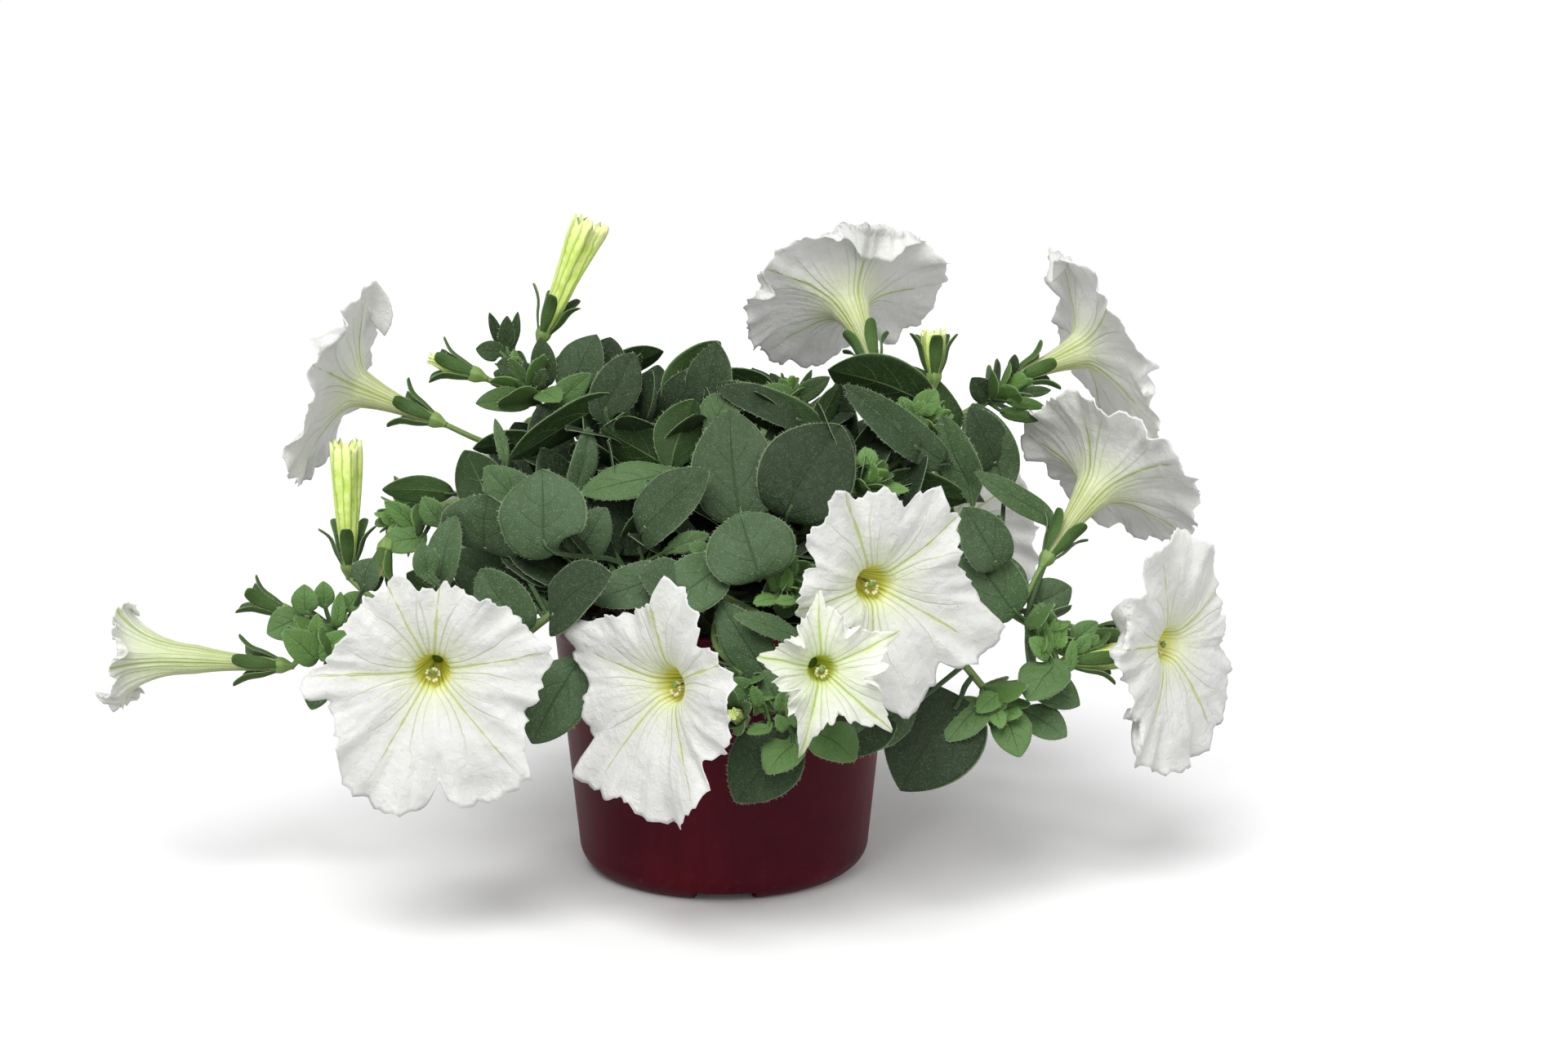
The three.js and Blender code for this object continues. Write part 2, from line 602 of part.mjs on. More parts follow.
/** A corolla: a thin trumpet whose outer face runs out to the limb's edge and whose inner face runs back. */
function makeFlower(key) {
  const flower = FLOWERS[key];
  const curve = flowerCurve(flower);
  const throatRadius = flower.throatRadius ?? THROAT_RADIUS;
  const facing = lookOf(flower.facing);
  const turn = THREE.MathUtils.degToRad(flower.facing[0]);
  const across = new THREE.Vector3(Math.cos(turn), Math.sin(turn), 0);
  const upward = new THREE.Vector3().crossVectors(facing, across);
  const tubeRing = (share, radius) => {
    const centre = curve.getPoint(share);
    const along = curve.getTangent(share).normalize();
    const side = across.clone().addScaledVector(along, -across.dot(along)).normalize();
    const top = new THREE.Vector3().crossVectors(along, side);
    return Array.from({ length: PETAL_STEPS }, (_, step) => {
      const angle = (2 * Math.PI * step) / PETAL_STEPS;
      return centre.clone()
        .addScaledVector(side, radius * Math.cos(angle))
        .addScaledVector(top, radius * Math.sin(angle));
    });
  };
  const limbRing = (share, lift) => Array.from({ length: PETAL_STEPS }, (_, step) => {
    const angle = (2 * Math.PI * step) / PETAL_STEPS;
    const edge = limbRadius(flower.outline, (360 * step) / PETAL_STEPS);
    const radius = THREE.MathUtils.lerp(throatRadius, edge, share);
    return vector(flower.throat)
      .addScaledVector(across, radius * Math.cos(angle))
      .addScaledVector(upward, radius * Math.sin(angle))
      .addScaledVector(facing, flower.stand * Math.sqrt(share) * (1.35 - 0.35 * share) + lift);
  });
  const wall = PETAL_THICKNESS;
  const rings = [
    tubeRing(0, TUBE_RADIUS),
    tubeRing(0.5, 0.5 * (TUBE_RADIUS + throatRadius) - 0.6),
    tubeRing(1, throatRadius),
    limbRing(0.45, 0),
    limbRing(1, 0),
    limbRing(0.985, wall),
    limbRing(0.45, wall),
    tubeRing(1, throatRadius - wall),
    tubeRing(0.5, 0.5 * (TUBE_RADIUS + throatRadius) - 0.6 - wall),
  ];
  const look = key === 'half_open' || key === 'young_star' ? LOOKS.cream : LOOKS.petal;
  const body = loft(rings, (ring) => ring >= 5);
  return meshOf(`flower_${key}`, geometryOf(solidOf(body)), look);
}

/** A bud: a slim furled trumpet, narrow at its seat and widest near its tip. */
function makeBud(key) {
  const bud = BUDS[key];
  const path = new THREE.LineCurve3(vector(bud.base), vector(bud.tip));
  const [low, middle, high] = bud.radii;
  const body = taperedTube(path, [low, middle, high, high * 0.75], 3, 6);
  return meshOf(`bud_${key}`, geometryOf(solidOf(body)), LOOKS.cream);
}

/** A leaf: a short stalk off the stem's side, then a folded blade with thin edges and a stout midrib. */
function makeLeaf(key) {
  const leaf = LEAVES[key];
  const stem = stemCurve(SHOOTS[leaf.shoot]);
  const onStem = stem.getPoint(leaf.along);
  const base = vector(leaf.base);
  const tip = vector(leaf.tip);
  const face = lookOf(leaf.looks);
  const toward = base.clone().sub(onStem).normalize();
  const stemWay = stem.getTangent(leaf.along).normalize();
  const leave = toward.clone().addScaledVector(stemWay, -toward.dot(stemWay)).normalize();
  const seat = onStem.clone().addScaledVector(leave, STEM_RADIUS + 0.5 * GAP);
  const elbow = seat.clone().addScaledVector(leave, 3).addScaledVector(toward, 2);
  const middle = base.clone().lerp(tip, 0.5).addScaledVector(face, 0.08 * leaf.width);
  const path = new THREE.CatmullRomCurve3([seat, elbow, base, middle, tip]);
  const stations = [[0, 0.9], [0.26, 1.1], [0.46, 2.2], [0.6, 0.72], [0.74, 1], [0.88, 0.76], [1, 0.08]];
  const shares = stations.map(([share]) => share).reverse();
  const tipSide = new THREE.Vector3().crossVectors(face, tip.clone().sub(base));
  const frames = carriedFrames(path, shares, tipSide).reverse();
  const rings = stations.map(([, part], place) => {
    const { centre, side, up } = frames[place];
    const half = place < 3 ? part : (leaf.width / 2) * part;
    const fold = place < 3 ? 0 : 0.16 * half;
    const thick = LEAF_MIDDLE / 2;
    const thin = LEAF_EDGE / 2;
    const above = [[half, fold + thin], [0, thick], [-half, fold + thin]];
    const corners = [[half, fold - thin], ...above, [-half, fold - thin], [0, -thick]];
    return corners.map(([across, raise]) => (
      centre.clone().addScaledVector(side, across).addScaledVector(up, raise)
    ));
  });
  const body = loft(rings, (ring, corner) => corner >= 4);
  return meshOf(`leaf_${key}`, geometryOf(solidOf(body)), LOOKS.leaf);
}

const plant = new THREE.Group();
plant.add(makePot(), makeMix(), makeCrown());
Object.keys(SHOOTS).forEach((key) => plant.add(makeShoot(key)));
Object.keys(FLOWERS).forEach((key) => plant.add(makeFlower(key)));
Object.keys(BUDS).forEach((key) => plant.add(makeBud(key)));
Object.keys(LEAVES).forEach((key) => plant.add(makeLeaf(key)));

export default plant;
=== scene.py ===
"""A potted petunia in bloom: pot, potting mix, crown, leafy shoots, leaves, buds and trumpet flowers.

Shapes are worked out in millimetres in the part's own frame and put into the meshes in metres.
"""

import json
import math
from functools import partialmethod

import bpy
import numpy as np
from mathutils import Vector
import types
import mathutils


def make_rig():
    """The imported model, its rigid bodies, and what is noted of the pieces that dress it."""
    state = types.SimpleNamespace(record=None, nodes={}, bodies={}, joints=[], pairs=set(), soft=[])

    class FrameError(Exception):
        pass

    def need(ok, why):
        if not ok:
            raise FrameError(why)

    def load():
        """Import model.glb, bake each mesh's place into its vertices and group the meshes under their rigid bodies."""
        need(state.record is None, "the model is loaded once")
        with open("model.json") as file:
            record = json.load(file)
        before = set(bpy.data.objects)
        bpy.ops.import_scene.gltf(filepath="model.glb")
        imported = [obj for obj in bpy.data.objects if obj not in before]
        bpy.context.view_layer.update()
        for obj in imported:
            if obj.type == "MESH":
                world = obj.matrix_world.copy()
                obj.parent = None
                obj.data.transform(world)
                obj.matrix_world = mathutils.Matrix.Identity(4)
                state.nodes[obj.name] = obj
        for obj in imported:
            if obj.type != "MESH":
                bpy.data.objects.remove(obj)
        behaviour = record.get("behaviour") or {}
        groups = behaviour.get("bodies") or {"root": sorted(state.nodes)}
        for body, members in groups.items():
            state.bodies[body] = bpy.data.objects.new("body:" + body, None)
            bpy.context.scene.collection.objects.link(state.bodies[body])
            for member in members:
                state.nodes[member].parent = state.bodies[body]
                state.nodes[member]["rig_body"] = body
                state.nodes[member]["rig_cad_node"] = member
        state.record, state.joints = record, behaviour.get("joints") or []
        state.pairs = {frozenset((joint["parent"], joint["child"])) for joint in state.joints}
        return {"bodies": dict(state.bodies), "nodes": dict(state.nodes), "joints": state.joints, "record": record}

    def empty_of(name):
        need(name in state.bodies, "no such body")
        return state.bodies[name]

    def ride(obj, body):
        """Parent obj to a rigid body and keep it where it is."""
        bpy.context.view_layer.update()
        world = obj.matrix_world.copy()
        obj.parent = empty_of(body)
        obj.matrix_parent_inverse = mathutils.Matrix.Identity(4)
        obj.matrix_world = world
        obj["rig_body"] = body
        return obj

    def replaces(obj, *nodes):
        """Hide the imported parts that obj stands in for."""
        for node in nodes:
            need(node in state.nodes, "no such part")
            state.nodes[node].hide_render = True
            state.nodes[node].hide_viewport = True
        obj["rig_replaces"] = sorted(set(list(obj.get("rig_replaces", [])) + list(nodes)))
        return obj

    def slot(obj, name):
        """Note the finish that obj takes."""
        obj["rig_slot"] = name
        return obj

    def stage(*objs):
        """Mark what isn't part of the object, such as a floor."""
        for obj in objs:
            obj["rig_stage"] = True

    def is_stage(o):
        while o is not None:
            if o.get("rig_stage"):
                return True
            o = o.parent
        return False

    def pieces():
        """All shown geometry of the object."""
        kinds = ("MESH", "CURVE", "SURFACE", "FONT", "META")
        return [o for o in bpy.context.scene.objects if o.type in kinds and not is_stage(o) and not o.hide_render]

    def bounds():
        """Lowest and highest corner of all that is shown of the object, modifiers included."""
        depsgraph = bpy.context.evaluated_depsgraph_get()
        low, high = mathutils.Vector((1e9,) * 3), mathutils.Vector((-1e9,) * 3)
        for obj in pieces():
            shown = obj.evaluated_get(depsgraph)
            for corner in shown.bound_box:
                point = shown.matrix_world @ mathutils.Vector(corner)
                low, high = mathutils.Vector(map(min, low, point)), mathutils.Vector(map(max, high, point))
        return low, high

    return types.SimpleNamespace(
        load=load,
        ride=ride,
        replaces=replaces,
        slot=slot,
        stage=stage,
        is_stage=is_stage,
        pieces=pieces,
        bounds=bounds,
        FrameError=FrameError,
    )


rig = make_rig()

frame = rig.load()
cad_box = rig.bounds()

MM = 0.001

# The picture: its size in pixels, the lens, and where the camera stands and looks, in millimetres
PICTURE = (1920, 1280)
LENS, SENSOR = 67.22, 36.0
FOCAL = LENS / SENSOR * PICTURE[0]
CAMERA_PLACE = (0.0, -1100.0, 372.0)
CAMERA_TARGET = (23.5, 0.0, 135.0)
FLOOR_REACH = 3000.0

# The pot and what fills it
POT_HEIGHT = 106.0
POT_WALL = 1.4
SIDE_RADIUS_LOW = 56.6
SIDE_RADIUS_HIGH = 65.2
CORNER_RADIUS = 10.0
RIM_BAND = 11.0
RIM_STEP = 1.3
FOOT_RADIUS = 42.0
UNDERSIDE_RISE = 4.0
CENTRE_PAD_RADIUS = 14.0
NOTCH_WIDTH = 21.0
NOTCH_REACH = 46.0
NOTCH_EDGE = 0.006
MIX_TOP = 93.0
CROWN_OUTLINE = [[0, 70], [5, 73], [8, 84], [9.2, 93], [9.2, 98], [7.5, 104], [4, 107], [0, 108]]

# What grows
STEM_RADIUS = 2.0
STEM_TIP_RADIUS = 1.4
PEDICEL_RADIUS = 1.1
CUP_RADIUS = 3.0
SEPAL_LENGTH = 14.0
SEPAL_WIDTH = 5.2
LEAF_THICKNESS = 0.5
PETAL_THICKNESS = 0.3
TUBE_RADIUS = 2.3
THROAT_RADIUS = 7.0
STEM_HAIR_WIDTH = 0.05
LEAF_HAIR_WIDTH = 0.055
HAIR_LEAN = (0.37, 0.61, 0.7)
GOLDEN_TURN = 137.5
YOUNG_FLOWERS = ("young_star", "half_open")

# Where a blade starts on its midline, and its side veins: spacing, offset, slant and bend
BLADE_START = 0.46
VEIN_GAP, VEIN_START, VEIN_SLANT, VEIN_BEND = 0.235, 1.1, 0.5, 1.5

# A step along a curve to read its direction, the length that a UV of one stands for, and the run that is
# added to a corolla's so that it stays above nought below the throat
CLOSE = 1e-3
UV_REACH = 100.0
UV_THROAT = 40.0

# Places of the finishes in a piece's list, after its main one
HAIR, STEM = 1, 2
ANTHER, STIGMA = 1, 2
PERLITE = 1

# Where the seeds of each kind of shape start
FRILL_SEED, TIP_SEED, GRAIN_SEED = 40, 50, 77
FLOWER_SEED, STEM_SEED, ROSETTE_SEED, FLOWER_STALK_SEED, BUD_STALK_SEED = 100, 300, 400, 500, 600
LEAF_SEED, FILLING_SEED, SEEN_LEAF_SEED, FILL_LEAF_SEED = 700, 900, 2000, 3000

# Shoots: turn, height and reach of the start on the crown, points passed, length of the young leaves
SHOOTS = {
    "a": [(162, 96, 10.95), [(-30, 8, 128), (-58, 12, 160), (-74, 15, 184)], 19],
    "b": [(195, 96, 10.6), [(-48, -14, 122), (-95, -24, 118), (-132, -31, 110), (-150, -35, 101)], 15],
    "c": [(182, 104, 8.3), [(-45, -8, 138), (-88, -13, 148), (-117, -19, 143)], 15],
    "d": [(60, 104, 9.25), [(12, 9, 135), (19, 10, 160), (23, 10, 178)], 14],
    "e": [(12, 104, 8.45), [(32, 6, 136), (58, 4, 158), (76, 0, 172)], 14],
    "f": [(325, 104, 8.35), [(24, -16, 128), (42, -25, 146), (52, -30, 155)], 14],
    "g": [(285, 104, 8.2), [(10, -32, 124), (18, -52, 130), (22, -64, 127)], 13],
    "h": [(268, 96, 10.6), [(-2, -38, 117), (2, -68, 117), (13, -84, 92)], 11],
    "i": [(338, 96, 10.4), [(48, -22, 120), (88, -38, 119), (116, -49, 105)], 16],
    "j": [(305, 96, 10.3), [(38, -40, 116), (74, -58, 108), (99, -62, 82)], 16],
    "k": [(17, 96, 10.9), [(48, 14, 138), (84, 16, 168), (107, 15, 182)], 15],
    "l": [(130, 96, 10.75), [(-34, 38, 130), (-58, 62, 146), (-70, 76, 150)], 16],
    "m": [(92, 96, 10.9), [(6, 38, 134), (14, 64, 154), (20, 84, 158)], 16],
    "n": [(55, 96, 10.6), [(38, 34, 128), (68, 56, 140), (90, 70, 138)], 16],
    "o": [(230, 96, 10.6), [(-28, -34, 122), (-54, -56, 119), (-76, -62, 104)], 13],
    "p": [(140, 104, 9.25), [(-14, 4, 135), (-28, 2, 160), (-40, 2, 178)], 14],
}

# Flowers: shoot, place along it, a point the pedicel passes, seat on the calyx, middle of the throat,
# facing as turn and rise, how far the limb stands out, turns of the midveins, outline as turn and radius
FLOWERS = {
    "front_left": dict(
        shoot="o", along=0.62, via=(-84, -45, 108), seat=(-104, -63, 99), throat=(-103, -95, 102),
        facing=(4, 5), stand=8, veins=(10, 84, 115, 179, 238, 309),
        outline=[(6, 43), (13, 41), (25, 38), (35, 36), (48, 34), (67, 31), (76, 33), (81, 34), (87, 30),
                 (98, 31), (106, 37), (112, 38), (118, 34), (138, 36), (153, 34), (170, 37), (183, 46),
                 (188, 45), (194, 38), (202, 37), (212, 40), (224, 46), (232, 51), (241, 50), (247, 53),
                 (261, 49), (268, 45), (272, 39), (277, 45), (283, 49), (294, 50), (302, 51), (312, 50),
                 (319, 42), (328, 39), (336, 35), (347, 38), (357, 39)],
    ),
    "front_middle": dict(
        shoot="h", along=0.55, via=(-3, -72, 106), seat=(3, -84, 97), throat=(-18, -108, 100),
        facing=(-42, 5), stand=8, veins=(25, 96, 168, 236, 300),
        outline=[(11, 35), (31, 31), (46, 26), (52, 31), (69, 36), (88, 39), (98, 29), (121, 28),
                 (146, 35), (162, 46), (171, 44), (187, 34), (202, 36), (217, 40), (226, 53), (241, 50),
                 (255, 43), (270, 48), (286, 49), (294, 46), (308, 42), (317, 32), (332, 37), (344, 35)],
    ),
    "front_right": dict(
        shoot="f", along=0.6, via=(43, -42, 136), seat=(43, -65, 131), throat=(53, -95, 133),
        facing=(18, 3), stand=8, veins=(38, 112, 190, 262, 328),
        outline=[(2, 33), (11, 30), (31, 33), (38, 39), (47, 37), (55, 41), (65, 37), (72, 30), (83, 34),
                 (91, 35), (105, 33), (114, 39), (120, 39), (126, 33), (140, 34), (148, 32), (157, 27),
                 (184, 32), (193, 32), (205, 24), (229, 18), (252, 26), (264, 40), (272, 43), (278, 47),
                 (286, 46), (298, 42), (308, 37), (314, 42), (322, 48), (333, 49), (340, 48), (350, 38)],
    ),
    "young_star": dict(
        shoot="h", along=0.5, via=(20, -72, 112), seat=(31, -95, 105), throat=(34, -121, 109),
        facing=(6, 8), stand=5, throat_radius=5.5, roll=3.0,
        flaps=[(60, 12, 3, 130), (130, 11, 3.5, 140), (210, 12, 4, 140),
               (285, 10, 2.5, 120), (350, 12, 4, 130)],
        veins=(26, 94, 165, 254, 317),
        outline=[(10, 21), (19, 24), (26, 29), (33, 24), (42, 20), (60, 17), (78, 20), (87, 23), (94, 28),
                 (101, 23), (110, 19), (130, 16), (150, 18), (158, 20), (165, 24), (172, 20), (184, 17),
                 (210, 15), (238, 19), (247, 24), (254, 31), (261, 24), (270, 18), (285, 15), (301, 20),
                 (310, 26), (317, 33), (324, 26), (333, 22), (350, 18)],
    ),
    "right_side": dict(
        shoot="i", along=0.8, via=(120, -28, 104), seat=(143, -21, 96), throat=(166, -40, 96),
        facing=(46, 0), stand=7, veins=(40, 112, 170, 240, 300),
        flaps=[(160, 14, 6, -130), (225, 10, 5, -120)],
        outline=[(6, 26), (40, 30), (62, 38), (90, 45), (118, 46), (136, 38), (168, 42), (200, 32),
                 (220, 37), (244, 47), (289, 48), (304, 44), (333, 35)],
    ),
    "right_back": dict(
        shoot="i", along=0.9, via=(112, -38, 112), seat=(123, -26, 128), throat=(140, -10, 147),
        facing=(135, 35), stand=15, veins=(18, 90, 162, 234, 306),
        outline=[(18, 40), (54, 36), (90, 39), (126, 36), (162, 41), (198, 38), (234, 40), (270, 35),
                 (306, 38), (342, 34)],
    ),
    "upper_right": dict(
        shoot="k", along=0.97, via=(108, 16, 184), seat=(114, 19, 188), throat=(138, 25, 197),
        facing=(105, 20), stand=9, veins=(2, 74, 146, 222, 300),
        flaps=[(85, 14, 6, -120), (195, 10, 5, 110)],
        outline=[(0, 40), (30, 37), (60, 41), (100, 38), (136, 34), (162, 39), (180, 42), (210, 41),
                 (221, 47), (249, 46), (266, 40), (312, 44)],
    ),
    "top": dict(
        shoot="e", along=0.72, via=(58, 12, 176), seat=(58, 17, 194), throat=(51, 38, 211),
        facing=(203, 36), stand=15, veins=(20, 102, 184, 240, 300),
        flaps=[(100, 36, 8, -150), (10, 10, 4, -120)],
        outline=[(20, 39), (54, 34), (102, 40), (144, 36), (173, 47), (194, 49), (217, 46), (245, 39),
                 (286, 44), (319, 41), (350, 38)],
    ),
    "upper_left": dict(
        shoot="a", along=0.6, via=(-90, 3, 166), seat=(-111, 1, 176), throat=(-137, 6, 186),
        facing=(-100, 20), stand=10, veins=(18, 84, 160, 228, 300),
        flaps=[(100, 14, 7, -120), (36, 10, 5, 110)],
        outline=[(18, 44), (50, 36), (82, 41), (107, 32), (130, 34), (165, 40), (200, 38), (228, 42),
                 (250, 38), (280, 42), (314, 44), (346, 34)],
    ),
    "half_open": dict(
        shoot="b", along=0.88, via=(-152, -33, 98), seat=(-168, -32, 88), throat=(-198, -31, 90),
        facing=(-92, 3), stand=28, throat_radius=5.5,
        flaps=[(20, 16, 4, -90), (100, 18, 4.5, -110), (170, 14, 5, 100),
               (240, 16, 4, -80), (310, 14, 5, 100)],
        veins=(0, 72, 144, 216, 288),
        outline=[(0, 18), (72, 20), (144, 18), (216, 20), (288, 19)],
    ),
    "back_left": dict(
        shoot="l", along=0.62, via=(-56, 60, 124), seat=(-62, 67, 108), throat=(-77, 92, 116),
        facing=(-148, 18), stand=9, veins=(10, 82, 154, 226, 298),
        outline=[(10, 42), (46, 37), (82, 44), (118, 36), (154, 42), (190, 38), (226, 45), (262, 37),
                 (298, 43), (334, 36)],
    ),
    "back_middle": dict(
        shoot="m", along=0.55, via=(4, 72, 126), seat=(6, 84, 112), throat=(8, 111, 122),
        facing=(176, 22), stand=9, veins=(24, 96, 168, 240, 312),
        outline=[(24, 43), (60, 36), (96, 41), (132, 38), (168, 45), (204, 37), (240, 43), (276, 38),
                 (312, 44), (348, 37)],
    ),
    "back_right": dict(
        shoot="n", along=0.62, via=(70, 56, 120), seat=(76, 64, 106), throat=(92, 88, 112),
        facing=(146, 12), stand=8, veins=(0, 72, 144, 216, 288),
        outline=[(0, 44), (36, 37), (72, 42), (108, 36), (144, 44), (180, 38), (216, 42), (252, 36),
                 (288, 44), (324, 38)],
    ),
}

# Buds: shoot, place along it, a point the pedicel passes, base and tip, radius low, middle and high
BUDS = {
    "tall": ("a", 0.98, (-71, 19, 196), (-68, 20, 207), (-50, 20, 248), (2.3, 4.2, 6.8)),
    "left": ("b", 0.72, (-135, -24, 114), (-141, -21, 125), (-141, -20, 170), (2.2, 4.2, 6.2)),
    "top": ("e", 0.98, (79, 4, 182), (81, 8, 192), (81, 10, 207), (2.2, 3.8, 4.8)),
    "right": ("i", 0.97, (122, -52, 97), (130, -52, 93), (149, -51, 95), (2.2, 3.8, 5)),
    "front": ("h", 0.97, (8, -90, 86), (6, -95, 84), (3, -103, 88), (1.6, 2.6, 2.2)),
    "upper": ("a", 0.93, (-84, 10, 187), (-96, 9, 192), (-112, 9, 198), (1.8, 3, 2.2)),
    "outer": ("b", 0.93, (-158, -28, 105), (-166, -28, 108), (-176, -28, 113), (1.6, 2.6, 2)),
    "small": ("c", 0.97, (-124, -26, 139), (-126, -32, 132), (-128, -38, 124), (1.6, 2.6, 2)),
}

# Leaves with a node of their own: shoot, place along it, base, tip, width, the upper face's turn and rise,
# and how far the leaf is darkened as painted shade
LEAVES = {
    "centre_tall": ("g", 0.45, (7, -44, 146), (3, -27, 184), 32, (0, 20), 0.45),
    "centre_right": ("f", 0.45, (24, -46, 148), (44, -30, 178), 36, (8, 30), 0.85),
    "centre_low": ("g", 0.6, (13, -79, 132), (6, -66, 153), 33, (-5, 30), 0.0),
    "centre_left": ("p", 0.3, (-30, -50, 142), (-5, -52, 166), 24, (-25, 40), 0.5),
    "left_face": ("o", 0.44, (-64, -60, 139), (-66, -50, 166), 33, (-10, 25), 0.05),
    "left_outer": ("c", 0.6, (-87, -42, 134), (-86, -46, 156), 34, (-20, 25), 0.35),
    "left_low": ("o", 0.72, (-62, -77, 117), (-40, -88, 136), 25, (-20, 45), 0.7),
    "middle_low": ("h", 0.36, (-12, -74, 123), (-30, -82, 134), 22, (-5, 50), 0.3),
    "top_right_of_middle": ("d", 0.6, (-6, -2, 180), (-2, 2, 205), 20, (-30, 10), 0.7),
    "top_left_of_middle": ("p", 0.6, (-44, -15, 180), (-33, -6, 202), 18, (20, 20), 0.7),
    "top_left": ("a", 0.66, (-57, 8, 184), (-48, 14, 206), 20, (-20, 30), 0.55),
    "top_fold": ("d", 0.85, (30, -12, 176), (-2, -16, 190), 16, (10, 50), 0.8),
    "upper_right_long": ("e", 0.9, (74, -16, 166), (46, -14, 190), 17, (20, 40), 0.6),
    "upper_right_round": ("k", 0.8, (104, -4, 158), (94, -8, 181), 18, (15, 20), 0.65),
    "right_middle": ("i", 0.72, (100, -56, 130), (88, -54, 152), 20, (15, 20), 0.3),
    "right_low": ("j", 0.9, (86, -72, 84), (64, -86, 54), 38, (5, 20), 0.95),
    "front_low": ("j", 0.42, (22, -88, 78), (4, -98, 54), 27, (-5, 15), 0.6),
    "front_low_right": ("j", 0.5, (56, -84, 86), (40, -92, 70), 24, (0, 30), 0.8),
    "back_high": ("m", 0.5, (-8, 62, 152), (-22, 78, 176), 30, (180, 30), 0.5),
    "back_low": ("n", 0.45, (42, 66, 112), (38, 92, 90), 32, (170, 40), 0.5),
}

